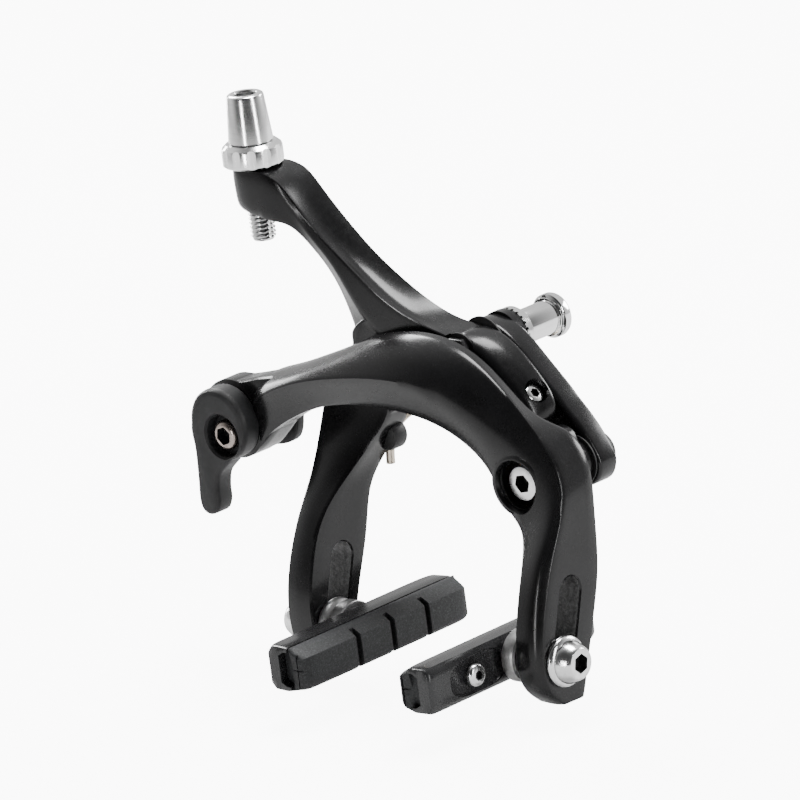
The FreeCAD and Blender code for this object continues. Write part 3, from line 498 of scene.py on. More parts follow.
c_slot = prism("c_slot", slot_outline(SLOT_HALF), "yz", 28, 42)
c_slot_flare = slot_flare("c_slot_flare", 38.05, 39.2)
recess = lathe("recess", "y", [
    (0, -36), (6.6, -36), (6.3, -32.1), (5.6, -31.2), (5.4, -30.6), (5.4, -26.6), (0, -26.6)],
    PIVOT_AT, 64)
pivot_bore = rod("pivot_bore", "y", 4.4, -28, -10, PIVOT_AT, 48)
cam_bore = rod("cam_bore", "y", 6.25, -29.5, -20, LEVER_AT, 48)
pin_hole = rod("pin_hole", "y", 1.95, -25.3, -18, CONTACT, 32)
c_arm = boolean(c_arm, [c_slot, c_slot_flare, recess, pivot_bore, cam_bore, pin_hole], "DIFFERENCE")
place(c_arm, "c_arm_body", "c_arm", GLOSS, 32)


def paint_slot(obj, side):
    """Give the slot walls the rough cast finish."""
    obj.data.materials.append(CAST)
    centre_y = PAD_BOLT[0]
    for poly in obj.data.polygons:
        c = poly.center / MM
        if c.x * side < 31.6 or c.x * side > 38.4 or abs(poly.normal.x) > 0.3:
            continue
        along = (c.z - PAD_BOLT[1]) / math.cos(SLANT)
        across = c.y - (centre_y + (c.z - PAD_BOLT[1]) * math.tan(SLANT))
        if -4.5 < along < 20.5 and abs(across) < 4.2:
            poly.material_index = 1


paint_slot(c_arm, 1)

# ---------------------------------------------------------------- rear arm
# Upper arm. Columns: top rear, top middle, channel, front edge, facet edge, underside front,
# underside rear.
UPPER = [
    [(-63, -17.4, 39.3), (-63, -18.4, 39.3), (-63, -19, 39.3), (-63, -20.2, 39.3),
     (-63, -20.6, 37), (-62.8, -20.4, 30.6), (-62.8, -17.4, 30.6)],
    [(-61.2, -14.5, 39.4), (-61.2, -16.6, 39.4), (-61.2, -19, 39.4), (-61.2, -23.1, 39.4),
     (-61.2, -23.6, 37), (-60.8, -23.3, 29.4), (-60.8, -14.5, 29.4)],
    [(-57.6, -13.3, 39.4), (-57.6, -16, 39.4), (-57.6, -19, 39.4), (-57.4, -24.1, 39.4),
     (-57.4, -24.6, 37), (-57, -24.3, 28.4), (-57, -13.4, 28.4)],
    [(-54.2, -12.5, 39.4), (-54, -15.6, 39.4), (-53.6, -19, 39.4), (-52.8, -24.0, 39.4),
     (-52.9, -24.5, 37.2), (-53, -24.2, 27.9), (-53, -12.6, 27.7)],
    [(-50.2, -12, 38.7), (-49.9, -14.8, 38.4), (-49.5, -18.6, 38.2), (-48.9, -23.6, 38.6),
     (-49.2, -24.2, 36.8), (-49.6, -24.0, 27.6), (-49.8, -12.1, 27.3)],
    [(-46.9, -12, 36.9), (-46.6, -14.5, 36.5), (-46.4, -18.5, 36.0), (-45.9, -22.8, 36.2),
     (-46.3, -23.5, 34.6), (-47, -23.1, 27.3), (-47.5, -12, 26.9)],
    [(-43.3, -12, 32.4), (-43.2, -14.5, 31.8), (-43.4, -18, 31.0), (-43.2, -21.6, 31.1),
     (-43.9, -22.3, 29.4), (-44.5, -21.9, 25.7), (-45.5, -12, 24.9)],
    [(-38, -12, 26.8), (-38.2, -14.4, 26), (-38.8, -17.4, 25.0), (-38.9, -20.8, 25.0),
     (-40, -21.3, 23.4), (-42.4, -19.8, 21.4), (-42.2, -12, 20.8)],
    [(-31.2, -12, 20.3), (-31.8, -14.2, 19.2), (-33, -17, 18.2), (-33.2, -20.1, 19.7),
     (-35.7, -20.7, 18.6), (-39.4, -18.4, 16.5), (-39.0, -12, 16.2)],
    [(-26.0, -12, 16.4), (-26.8, -14.2, 15.3), (-27.6, -17.2, 14.0), (-28.2, -20.2, 15.8),
     (-32.2, -20.7, 12.7), (-36.8, -17.8, 11.2), (-36, -12, 10.8)],
    [(-19.5, -12, 12.1), (-20.2, -14.2, 11), (-21, -17.4, 9.8), (-22.2, -20.3, 11.2),
     (-28.5, -20.8, 7.2), (-35.1, -17.6, 6), (-34.4, -12, 5.8)],
    [(-12, -12, 8.0), (-12.6, -14.4, 7.3), (-13.6, -17.8, 6.3), (-14.6, -20.4, 7.4),
     (-24.5, -20.7, 3.5), (-33.2, -17.8, 0.8), (-32.6, -12, 0.4)],
    [(-6, -12, 5.9), (-6.3, -15, 5.6), (-6.8, -18.2, 5.0), (-7.2, -20.4, 5.4),
     (-18, -20.6, -2), (-34.0, -18.4, -5), (-33.6, -12, -5)],
    [(-0.5, -12, 5.0), (-0.6, -15, 4.8), (-1.0, -18.2, 4.2), (-1.4, -20.3, 3.7),
     (-12, -20.5, -6), (-30, -18.4, -9), (-30, -12, -9)],
    [(5.5, -12, 3.6), (5.4, -15, 3.4), (5.0, -18.2, 2.4), (4.4, -20.3, 1.2),
     (-6, -20.4, -8), (-20, -18.4, -11), (-20, -12, -11)],
]
STATIONS = len(UPPER)
UPPER_CREASES = [
    0.8,
    0.1,
    0.0,
    [0.95, 0.95, 0.95, 0.9] + [0.85] * (STATIONS - 4),
    [0.0, 0.0, 0.0, 0.0, 0.1, 0.3, 0.6] + [0.75] * (STATIONS - 7),
    [0.35, 0.35, 0.4, 0.5] + [0.6] * (STATIONS - 4),
    0.85,
]
upper = cage("rear_arm", UPPER, UPPER_CREASES, 3, 0.4)

# Left leg. Columns: outer rear, outer front, front middle, inner front, inner rear.
LEG = [
    [(-40.4, -12, -8), (-41.2, -20.7, -7.6), (-33, -20.8, -8),
     (-24, -20.7, -10.6), (-24, -12, -11)],
    [(-43.2, -12.2, -16), (-43.9, -21.0, -15.2), (-33.5, -21.6, -16.2),
     (-22.6, -20.7, -15.4), (-23.6, -12, -17.6)],
    [(-42.6, -14, -25), (-43.2, -25.4, -23.6), (-35.4, -26.2, -23.2),
     (-27.0, -23.2, -22.2), (-28.8, -14, -24.2)],
    [(-41.6, -17.6, -31), (-41.0, -31.2, -29.8), (-36.6, -31.8, -29.6),
     (-31.2, -29.2, -29.6), (-31, -18.6, -29.8)],
    [(-40.4, -21, -35), (-40.1, -36.2, -34.8), (-36.6, -37.2, -34.2),
     (-31.6, -35.4, -33.8), (-31.4, -21.8, -34.3)],
    [(-39.3, -23.2, -40), (-39.3, -40.0, -39.4), (-36.4, -40.9, -39),
     (-31.6, -40.4, -38.8), (-31.5, -23.2, -39.6)],
    [(-39.3, -25.0, -46), (-39.3, -43.3, -46), (-36, -44.0, -46),
     (-31.6, -43.4, -46), (-31.5, -25.0, -46)],
    [(-39.4, -28.6, -54), (-39.4, -45.6, -54), (-36, -46.0, -54),
     (-31.6, -45.6, -54), (-31.5, -28.6, -54)],
    [(-39.4, -31.4, -62), (-39.4, -45.8, -62), (-36, -46.1, -62),
     (-31.6, -45.8, -62), (-31.5, -31.4, -62)],
    [(-39.4, -33.4, -69), (-39.4, -43.8, -69), (-36, -44.2, -69),
     (-31.6, -43.8, -69), (-31.5, -33.4, -69)],
    [(-38.6, -36.2, -73.6), (-38.6, -40.2, -73.6), (-36, -40.4, -73.6),
     (-32.4, -40.2, -73.6), (-32.4, -36.2, -73.6)],
]
leg = cage("left_leg", LEG, [0.85, 0.8, 0.0, 0.85, 0.85], 3)

HUB = curve_through([
    (-32.4, 2.5), (-28.4, 5.6), (-21.0, 7.0), (-13.0, 4.6), (-4.5, 3.7), (3.0, 2.4), (7.6, -0.8),
    (8.2, -5.0), (4.0, -9.2), (-5.0, -11.4), (-14.5, -12.2), (-22.2, -15.2), (-27.4, -20.4),
    (-31.4, -26.8), (-35.6, -29.4), (-40.0, -26.4), (-42.4, -19.0), (-41.2, -12.0), (-35.4, -5.6),
    (-33.0, -1.2)], 5)
hub = bevel(prism("hub", HUB, "xz", -20.5, -11.7), 0.8)

# Stations of the tail: distance along, then top rear, top front, front top, front low and low rear
# as (across, y).
TAIL = [
    (-4.0, (3.4, -11.7), (3.0, -18.0), (1.8, -20.3), (-5.0, -20.3), (-5.0, -11.7)),
    (1.0, (7.6, -11.7), (7.3, -17.0), (5.4, -20.4), (-5.0, -20.4), (-5.0, -11.7)),
    (6.0, (9.2, -11.7), (8.9, -16.4), (6.8, -20.4), (-4.6, -20.4), (-4.0, -11.7)),
    (10.5, (9.9, -11.7), (9.6, -16.0), (7.6, -20.3), (-4.2, -20.3), (-2.0, -11.7)),
    (14.5, (10.2, -11.7), (9.9, -15.8), (8.2, -20.1), (-3.0, -20.2), (0.6, -11.7)),
    (18.5, (10.2, -11.7), (9.9, -15.8), (8.4, -19.9), (1.5, -19.9), (1.5, -11.7)),
    (22.0, (9.4, -12.0), (9.2, -15.8), (7.8, -19.5), (1.8, -19.5), (1.8, -12.0)),
    (24.2, (7.4, -12.6), (7.3, -15.8), (6.4, -18.6), (3.2, -18.6), (3.2, -12.6)),
]
tail_rings = []
for along, *ring in TAIL:
    tail_rings.append([(ACROSS_TAIL.x * across + ALONG_TAIL.x * along, y,
                        ACROSS_TAIL.y * across + ALONG_TAIL.y * along) for across, y in ring])
tail = cage("tail", tail_rings, [0.7, 0.2, 0.35, 0.8, 0.8], 3, 0.3)

y_arm = boolean(upper, [hub, leg, tail], "UNION")
y_slot = prism("y_slot", slot_outline(SLOT_HALF), "yz", -42, -28)
y_slot_flare = slot_flare("y_slot_flare", -31.95, -30.8)
hub_bore = rod("hub_bore", "y", 3.9, -26, -10, ORIGIN, 48)
hub_face = rod("hub_face", "y", 5.2, -26, -18.9, ORIGIN, 48)
barrel_bore = rod("barrel_bore", "z", 3.05, 25, 45, HEAD_AT, 48)
screw_seat = lathe("screw_seat", "z", [
    (0, -9), (1.55, -9), (1.55, -2.2), (2.6, -2.2), (3.2, 5), (0, 5)], ORIGIN, 40)
screw_axis = Vector((ACROSS_TAIL.x, 0, ACROSS_TAIL.y))
screw_turn = Vector((0, 0, 1)).rotation_difference(screw_axis).to_matrix().to_4x4()
screw_frame = Matrix.Translation(Vector(SCREW_HEAD) * MM) @ screw_turn
screw_seat.data.transform(screw_frame)
y_arm = boolean(y_arm, [y_slot, y_slot_flare, hub_bore, hub_face, barrel_bore, screw_seat],
                "DIFFERENCE")
y_arm.name = "rear_arm"
place(y_arm, "y_arm_body", "y_arm", GLOSS, 32)
paint_slot(y_arm, -1)


# ---------------------------------------------------------------- bracket and its hardware
BRACKET = curve_through([
    (-6.5, 0.5), (-5.0, 3.8), (-1.5, 5.2), (3.0, 4.6), (6.8, 2.6), (10.2, -0.3), (13.6, -3.8),
    (18.9, -9.2), (21.5, -12.2), (24.4, -15.3), (27.2, -18.9), (30.0, -23.5), (30.5, -26.5),
    (28.6, -30.0), (24.0, -31.5), (19.5, -29.8), (12.0, -22.0), (4.0, -14.0), (-4.5, -6.0),
    (-6.5, -3.0)], 6)
bracket = bevel(prism("rear_bracket", BRACKET, "xz", -11.0, -4.5), 1.2, 5)
boss = lathe("bracket_boss", "y", [
    (3.05, -5.5), (5.9, -5.5), (5.9, -3.3), (5.5, -2.9), (3.05, -2.9)], ORIGIN, 56)
bracket = boolean(bracket, [boss], "UNION")
bolt_hole = rod("bolt_hole", "y", 3.05, -14, 0, ORIGIN, 48)
pin_hole = rod("pin_hole", "y", 3.05, -14, 0, PIVOT_AT, 48)
lug = lathe("lug", "y", [
    (0, -10.5), (2.7, -10.5), (3.0, -10.1), (3.0, -5.4), (2.7, -5.0), (0, -5.0)], (2.2, 0, -9.4),
    36)
lug_hole = rod("lug_hole", "y", 1.25, -14, 0, (2.2, 0, -10.4), 24)
bracket = boolean(bracket, [lug], "UNION")
bracket = boolean(bracket, [bolt_hole, pin_hole, lug_hole], "DIFFERENCE")
place(bracket, "bracket", "bracket_plate", GLOSS, 32)

washer = lathe("toothed_washer", "y", [
    (3.1, -2.9), (5.4, -2.9), (5.75, -2.6), (5.75, -0.7), (5.2, -0.1), (3.1, 0.0)], ORIGIN, 96)
TEETH = 24
bm = bmesh.new()
for i in range(TEETH):
    notch = prism("notch", [(4.4, -0.3), (6.6, -0.3), (6.6, 0.3), (4.4, 0.3)], "xz", -3.2, -2.1)
    notch.data.transform(Matrix.Rotation(2 * math.pi * i / TEETH, 4, "Y"))
    bm.from_mesh(notch.data)
    bpy.data.objects.remove(notch)
tooth_mesh = bpy.data.meshes.new("teeth")
bm.to_mesh(tooth_mesh)
bm.free()
washer = boolean(washer, [link("teeth", tooth_mesh)], "DIFFERENCE")
place(washer, "bracket", "serrated_washer", STEEL)

sleeve = lathe("sleeve_nut_piece", "y", [
    (3.05, 0.05), (3.9, 0.05), (4.0, 0.3), (4.0, 9.3), (3.75, 9.5), (3.75, 9.7), (4.5, 9.8),
    (4.6, 9.95), (4.5, 10.1), (3.8, 10.2), (3.8, 10.45), (4.9, 10.6), (5.2, 10.85), (5.2, 12.4),
    (5.05, 12.8), (4.6, 13.15), (3.75, 13.2), (3.5, 13.0), (3.45, 11.3), (3.05, 11.2)], ORIGIN, 80)
sleeve = boolean(sleeve, [prism("sleeve_hex", hexagon(6.4), "xz", 11.2, 14)], "DIFFERENCE")
place(sleeve, "bracket", "sleeve_nut", CHROME)

bolt_thread = [(3.0 - 0.2 * (k % 2), -0.5 + 0.4 * k) for k in range(26)]
mount = lathe("mount_bolt", "y", [
    (0, -21.2), (2.3, -21.2), (2.9, -20.8), (3.0, -20.5), *bolt_thread, (2.5, 10.45), (0, 10.5)],
    ORIGIN, 48)
place(mount, "bracket", "mounting_bolt", STEEL)
nut = bevel(prism("mount_nut", hexagon(7.4), "xz", -21.0, -19.42), 0.35, 3)
nut = boolean(nut, [rod("nut_bore", "y", 3.05, -24, -18, ORIGIN, 40)], "DIFFERENCE")
place(nut, "bracket", "centre_nut", HOLDER)

pivot_bolt = lathe("pivot_bolt_piece", "y", [
    (0, -29.68), (3.75, -29.68), (3.92, -29.6), (4.0, -29.4), (4.0, -28.9), (4.0, -26.5),
    (3.5, -26.5), (3.5, -11.1), (3.0, -11.1), (3.0, -2.65), (0, -2.65)], PIVOT_AT, 72)
pivot_bolt = boolean(pivot_bolt, [prism("pivot_hex", hexagon(3.9, PIVOT, 0.2), "xz", -30.2, -26.6)],
                     "DIFFERENCE")
place(pivot_bolt, "bracket", "side_pivot_bolt", FACE_STEEL)
# Painted shade inside the hex socket of the pivot bolt.
socket(pivot_bolt, 1, PIVOT, 2.3, -29.6, -26.5)
pivot_nut = lathe("pivot_nut_piece", "y", [
    (3.05, -4.45), (4.6, -4.45), (4.6, -3.5), (4.3, -2.8), (3.8, -2.5), (3.05, -2.5)], PIVOT_AT, 56)
place(pivot_nut, "bracket", "side_pivot_nut", NYLON)

screw = lathe("centring_screw_piece", "z", [
    (0, -7.0), (1.1, -7.0), (1.5, -6.6), (1.5, -2.1), (2.25, -2.1), (2.25, -0.5), (2.1, -0.15),
    (1.8, 0.0), (0, 0.0)], ORIGIN, 48)
screw = boolean(screw, [prism("screw_hex", hexagon(2.1), "xy", -1.5, 0.6)], "DIFFERENCE")
screw.data.transform(screw_frame)
place(screw, "centring_screw_body", "centring_screw", STEEL)
# Painted shade: the faces inside the hex socket of the screw head get the near-black socket
# material.
screw.data.materials.append(SOCKET_SHADE)
for poly in screw.data.polygons:
    c = (screw_frame.inverted() @ poly.center) / MM
    if -1.6 < c.z < -0.08 and math.hypot(c.x, c.y) < 1.3:
        poly.material_index = 1

# ---------------------------------------------------------------- cable adjuster
ring_low = 39.55
ring_profile = [
    (3.05, ring_low), (6.6, ring_low), (7.1, ring_low + 0.4), (7.1, ring_low + 3.7),
    (6.9, ring_low + 4.3), (5.9, ring_low + 5.2), (3.05, ring_low + 5.2)]
ring = lathe("adjuster_ring_piece", "z", ring_profile, HEAD_AT, 96)
FLUTES = 12
flutes = []
for i in range(FLUTES):
    turn = 2 * math.pi * (i + 0.4) / FLUTES
    flutes.append(rod("flute", "z", 1.55, ring_low - 1, ring_low + 7,
                      (HEAD[0] + 8.2 * math.cos(turn), HEAD[1] + 8.2 * math.sin(turn), 0), 24))
ring = boolean(ring, flutes, "DIFFERENCE")
place(ring, "adjuster_ring_body", "adjuster_ring", ALU, 25)

# Barrel with a rolled thread and a keyway along +X. Its wall runs back down as the cable bore.
thread_low, thread_high, cone_low = 21.6, 44.0, 44.86
STEPS, PITCH, ROWS = 60, 1.0, 8         # points around, pitch, rows in each turn of thread
THREAD_RADIUS, THREAD_DEPTH, CABLE_RADIUS = 3.0, 0.5, 1.0
verts, faces = [], []
levels = int((thread_high - thread_low) / PITCH * ROWS)
for level in range(levels + 1):
    z = thread_low + level * PITCH / ROWS
    for i in range(STEPS):
        turn = 2 * math.pi * i / STEPS
        phase = ((z - thread_low) / PITCH - i / STEPS) % 1.0
        radius = THREAD_RADIUS - THREAD_DEPTH * abs(2 * phase - 1) ** 0.8
        if z < thread_low + 0.8:
            radius = min(radius, 2.3 + (z - thread_low) * 0.8)
        if abs(radius * math.sin(turn)) < 0.5 and math.cos(turn) > 0:
            radius = 2.4
        verts.append((HEAD[0] + radius * math.cos(turn), HEAD[1] + radius * math.sin(turn), z))
for z in (thread_high, thread_low):
    for i in range(STEPS):
        turn = 2 * math.pi * i / STEPS
        verts.append((HEAD[0] + CABLE_RADIUS * math.cos(turn),
                      HEAD[1] + CABLE_RADIUS * math.sin(turn), z))
total = levels + 3
for level in range(total):
    above = (level + 1) % total
    for i in range(STEPS):
        j = (i + 1) % STEPS
        faces.append((level * STEPS + i, level * STEPS + j, above * STEPS + j, above * STEPS + i))
thread = clean(from_lists("adjuster_thread_piece", verts, faces))
place(thread, "adjuster_barrel_body", "adjuster_barrel", STEEL, 50)
barrel = lathe("adjuster_barrel_piece", "z", [
    (1.0, 43.9), (2.9, 43.9), (2.9, cone_low), (4.9, cone_low), (5.2, cone_low + 0.3),
    (5.15, cone_low + 0.8), (4.32, 55.4), (4.15, 55.9), (3.8, 56.15), (3.4, 56.2), (2.8, 56.15),
    (2.55, 55.8), (2.55, 48.4), (2.4, 48.2), (1.0, 48.2)], HEAD_AT, 80)
place(barrel, "adjuster_barrel_body", "adjuster_barrel", ALU, 30)

# ---------------------------------------------------------------- quick release
LEVER_SHAPE = [
    (-72.75, -19.5), (-72.5, -25.5), (-72.8, -32.0), (-73.2, -37.6), (-72.4, -40.2), (-70.4, -41.1),
    (-68.0, -40.2), (-66.8, -37.8), (-66.6, -34.4), (-65.4, -30.8), (-61.6, -27.2), (-58.2, -22.0),
    (-57.0, -16.0), (-62.0, -11.0), (-69.6, -12.6)]
blade = bevel(prism("blade", curve_through(LEVER_SHAPE, 6), "xz", -36.2, -30.95), 1.0, 4, 50)
disc = lathe("quick_release_piece", "y", [
    (0, -36.2), (7.3, -36.2), (8.1, -35.95), (8.6, -35.3), (8.7, -34.6), (8.7, -31.2),
    (8.5, -30.95), (6.2, -30.9), (6.2, -21.35), (0, -21.35)], LEVER_AT, 80)
lever = boolean(disc, [blade], "UNION")
lever_recess = lathe("lever_recess", "y", [
    (0, -38), (5.9, -38), (5.45, -36.1), (5.1, -35.6), (5.1, -32.7), (0, -32.7)], ANCHOR_AT, 64)
lever_bore = rod("lever_bore", "y", 3.06, -34, -20, ANCHOR_AT, 40)
lever = boolean(lever, [lever_recess, lever_bore], "DIFFERENCE")
place(lever, "quick_release_body", "quick_release_lever", SATIN, 32)

anchor_face = -35.55
anchor = lathe("anchor_bolt_piece", "y", [
    (0, anchor_face), (2.5, anchor_face), (3.1, anchor_face + 0.25), (3.45, anchor_face + 0.8),
    (3.5, anchor_face + 1.4), (3.5, -32.65), (3.0, -32.65), (3.0, -12.5), (2.6, -12.1), (0, -12.1)],
    ANCHOR_AT, 64)
anchor = boolean(anchor, [prism("anchor_hex", hexagon(3.9, ANCHOR, 0.35), "xz", -36, -33.0)],
                 "DIFFERENCE")
place(anchor, "quick_release_body", "anchor_bolt", DARK)
# Painted shade inside the hex socket of the anchor bolt.
socket(anchor, 1, ANCHOR, 2.3, -35.5, -32.9)

PLATE = [
    (-5.6, -3.4), (-3.0, -6.2), (2.4, -6.4), (7.2, -4.4), (9.0, 0.4), (8.2, 4.6), (3.6, 6.4),
    (-2.6, 6.0), (-5.8, 3.0)]
plate_curve = curve_through([(ANCHOR[0] + a, ANCHOR[1] + b) for a, b in PLATE], 4)
plate = bevel(prism("clamp_plate_piece", plate_curve, "xz", -20.1, -17.6), 0.4, 3)
plate_bore = rod("plate_bore", "y", 3.05, -22, -15, ANCHOR_AT, 40)
cable_groove = rod("cable_groove", "z", 0.9, -34, -8, (HEAD[0], -17.5, 0), 24)
plate = boolean(plate, [plate_bore, cable_groove], "DIFFERENCE")
place(plate, "quick_release_body", "cable_clamp_plate", SATIN)
clamp_nut = bevel(prism("anchor_nut_piece", hexagon(9.0, ANCHOR), "xz", -17.45, -13.05), 0.45, 3)
clamp_nut = boolean(clamp_nut, [rod("nut_hole", "y", 3.02, -19, -12, ANCHOR_AT, 40)], "DIFFERENCE")
place(clamp_nut, "quick_release_body", "anchor_nut", STEEL)


# ---------------------------------------------------------------- pads
GROOVES = (0.31, 0.52, 0.735)       # water grooves, as shares of the pad length
SCOOP_HALF = (9.2, 4.4)             # half length and half height of the holder's oval scoop


def pad_set(side, label, leg_out):
    """Pieces of one pad. side is -1 or 1 along X, leg_out the outer face of its leg."""
    body_clamp, body_pad = label + "_clamp_body", label + "_pad_body"
    leg_in, back, low, high, front, length = 31.5, 25.0, -67.4, -56.6, -66.0, 54.0
    at = (0, PAD_BOLT[0], PAD_BOLT[1])

    def sided(profile):
        return [(r, side * a) for r, a in profile]

    def span(a, b):
        return sorted((side * a, side * b))

    bolt = lathe(label + "_pad_bolt_piece", "x", sided([
        (0, 22.4), (2.6, 22.4), (2.9, 22.8), (2.9, leg_out + 1.72), (4.7, leg_out + 1.72),
        (4.95, leg_out + 1.9), (4.9, leg_out + 2.3), (4.55, leg_out + 3.2), (4.1, leg_out + 4.2),
        (3.7, leg_out + 4.95), (3.4, leg_out + 5.2), (0, leg_out + 5.2)]), at, 72)
    pad_hex = prism("pad_hex", hexagon(4.0, PAD_BOLT, 0.3), "yz", *span(leg_out + 2.6, leg_out + 6))
    bolt = boolean(bolt, [pad_hex], "DIFFERENCE")
    place(bolt, body_clamp, label + "_pad_bolt", STEEL)
    # Painted shade inside the hex socket of the pad bolt.
    socket(bolt, 0, PAD_BOLT, 2.35, *span(leg_out + 2.5, leg_out + 5.1))
    flat = lathe(label + "_flat_washer_piece", "x", sided([
        (3.05, leg_out + 0.12), (5.8, leg_out + 0.12), (5.9, leg_out + 0.3), (5.9, leg_out + 0.9),
        (5.6, leg_out + 1.35), (4.9, leg_out + 1.7), (3.05, leg_out + 1.7)]), at, 72)
    place(flat, body_clamp, label + "_flat_washer", STEEL)
    # Convex and concave washers: matt zinc, darkened partly as painted shade.
    convex = lathe(label + "_convex_washer_piece", "x", sided([
        (3.05, leg_in - 0.12), (6.2, leg_in - 0.12), (6.3, leg_in - 0.3), (6.3, leg_in - 0.9),
        (5.95, leg_in - 1.6), (5.2, leg_in - 2.4), (4.3, leg_in - 3.0), (3.05, leg_in - 3.5)]), at,
        64)
    place(convex, body_clamp, label + "_convex_washer", ZINC_AND_SHADE)
    concave = lathe(label + "_concave_washer_piece", "x", sided([
        (3.8, leg_in - 3.75), (5.3, leg_in - 2.95), (6.0, leg_in - 3.2), (6.2, leg_in - 3.5),
        (6.2, back + 0.3), (6.0, back + 0.1), (3.8, back + 0.1)]), at, 64)
    place(concave, body_clamp, label + "_concave_washer", ZINC_AND_SHADE)

    # Holder: channel with lips and a closed rear end, and an oval scoop around the set screw.
    start, end = front - 2.0, front + length
    ends = [
        (start, 0.5), (start + 0.8, 0.0), (start + 4, 0), (-50, 0), (-27, 0), (end - 3.2, 0),
        (end - 0.8, 0.5), (end, 1.4)]
    shell = []
    for y, tuck in ends:
        section = [
            (back - tuck, low + 1.4 + tuck), (back - 1.2 - tuck, low + tuck),
            (back - 6.4, low + tuck * 0.5), (back - 6.4, high - tuck * 0.5),
            (back - 1.2 - tuck, high - tuck), (back - tuck, high - 1.4 - tuck)]
        shell.append([(side * x, y, z) for x, z in section])
    holder = cage(label + "_pad_holder_piece", shell, [0.85] * 6, 2, 0.7)
    pocket = prism("pocket", [
        (side * (back - 3.6), low + 2.2), (side * (back - 5.2), low + 1.3),
        (side * (back - 7.6), low + 1.3), (side * (back - 7.6), high - 1.3),
        (side * (back - 5.2), high - 1.3), (side * (back - 3.6), high - 2.2)], "xz", front - 3,
        end - 1.6)
    set_y = front + 12.2
    oval = []
    for i in range(32):
        turn = 2 * math.pi * i / 32
        a, b = (math.copysign(abs(f) ** 0.7, f) for f in (math.cos(turn), math.sin(turn)))
        oval.append((set_y + 1.6 + SCOOP_HALF[0] * a, PAD_BOLT[1] + SCOOP_HALF[1] * b))
    sink = bevel(prism("sink", oval, "yz", *span(back - 0.9, back + 2)), 0.6, 3)
    bolt_hole = rod("bolt_hole", "x", 3.0, side * 20, side * 27, at, 40)
    set_hole = rod("set_hole", "x", 1.55, side * 20, side * 27, (0, set_y, PAD_BOLT[1]), 24)
    holder = boolean(holder, [pocket, sink, bolt_hole, set_hole], "DIFFERENCE")
    place(holder, body_pad, label + "_pad_holder", HOLDER)

    # Rubber: chamfered block with three water grooves and rounded ends.
    face = 14.0
    rear_in_channel = end - 1.9
    ends = [
        (front - 1.6, 1.9), (front - 1.2, 0.9), (front + 0.6, 0.2), (front + 3.0, 0.0),
        (end - 6.0, 0.0), (end - 2.0, 0.1), (end - 0.5, 0.8), (end, 1.9)]
    rows = []
    for y, tuck in ends:
        inner_y = min(max(y, front), rear_in_channel)
        section = [
            (back - 3.8, low + 2.5), (back - 5.3, low + 1.5), (back - 6.49, low + 1.5),
            (back - 6.55, low + 0.35), (face + 1.2 + tuck * 0.6, low + 0.5 + tuck * 0.3),
            (face + tuck, low + 1.5 + tuck * 0.3), (face + tuck, high - 2.4 - tuck * 0.3),
            (face + 3.6 + tuck * 0.4, high - 0.5 - tuck * 0.3), (back - 6.55, high - 0.35),
            (back - 6.49, high - 1.5), (back - 5.3, high - 1.5), (back - 3.8, high - 2.5)]
        rows.append([(side * x, inner_y if x > back - 6.5 else y, z) for x, z in section])
    insert = cage(label + "_pad_insert_piece", rows, [0.95] * 12, 2, 0.85)
    cuts = []
    for share in GROOVES:
        y = front + length * share
        lo, hi = span(face - 2, face + 2.4)
        first, second = (0.9, 0.7) if side > 0 else (0.7, 0.9)
        cuts.append(prism("groove", [
            (lo, y - first), (hi, y - second), (hi, y + second), (lo, y + first)], "xy", low - 1,
            high + 1))
    lo, hi = span(face + 0.2, back - 6.8)
    cuts.append(prism("end_slit_a", [(lo, -62.25), (hi, -62.25), (hi, -61.85), (lo, -61.85)], "xz",
                      front - 3, front - 0.9))
    mid = (lo + hi) / 2
    cuts.append(prism("end_slit_b", [
        (mid - 0.2, low + 0.5), (mid + 0.2, low + 0.5), (mid + 0.2, high - 1),
        (mid - 0.2, high - 1)], "xz", front - 3, front - 0.9))
    insert = boolean(insert, cuts, "DIFFERENCE")
    place(insert, body_pad, label + "_pad_insert", RUBBER)

    screw = lathe(label + "_set_screw_piece", "x", sided([
        (0, back - 3.5), (1.5, back - 3.5), (1.5, back + 0.1), (2.45, back + 0.1),
        (2.6, back + 0.3), (2.6, back + 1.0), (2.35, back + 1.45), (1.9, back + 1.7),
        (0, back + 1.7)]), (0, set_y, PAD_BOLT[1]), 48)
    set_at = (set_y, PAD_BOLT[1])
    set_hex = prism("set_hex", hexagon(2.1, set_at, 0.2), "yz", *span(back + 0.5, back + 3))
    screw = boolean(screw, [set_hex], "DIFFERENCE")
    place(screw, body_pad, label + "_pad_set_screw", STEEL)
    # Painted shade inside the hex socket of the set screw.
    socket(screw, 0, set_at, 1.25, *span(back + 0.4, back + 1.65))


pad_set(-1, "left", 39.5)
pad_set(1, "right", 38.5)

# ---------------------------------------------------------------- return spring and its seat
WIRE_PATH = [
    (-30.1, -15.7, -30.3), (-30.0, -15.6, -26.5), (-29.2, -15.0, -22.0), (-25.0, -11.8, -17.6),
    (-18.0, -9.4, -15.4), (-9.0, -8.7, -13.4), (-5.2, -8.7, -12.8)]
wire_curve = bpy.data.curves.new("spring_wire", "CURVE")
wire_curve.dimensions = "3D"
wire_line = wire_curve.splines.new("NURBS")
wire_line.points.add(len(WIRE_PATH) - 1)
for point, at in zip(wire_line.points, WIRE_PATH):
    point.co = (*(Vector(at) * MM), 1)
wire_line.use_endpoint_u = True
wire_line.order_u = 4
wire_line.resolution_u = 10
wire_curve.bevel_depth = 1.05 * MM
wire_curve.bevel_resolution = 7
wire_curve.use_fill_caps = True
wire_obj = link("spring_wire", wire_curve)
bpy.context.view_layer.update()
graph = bpy.context.evaluated_depsgraph_get()
wire_mesh = bpy.data.meshes.new_from_object(wire_obj.evaluated_get(graph))
bpy.data.objects.remove(wire_obj)
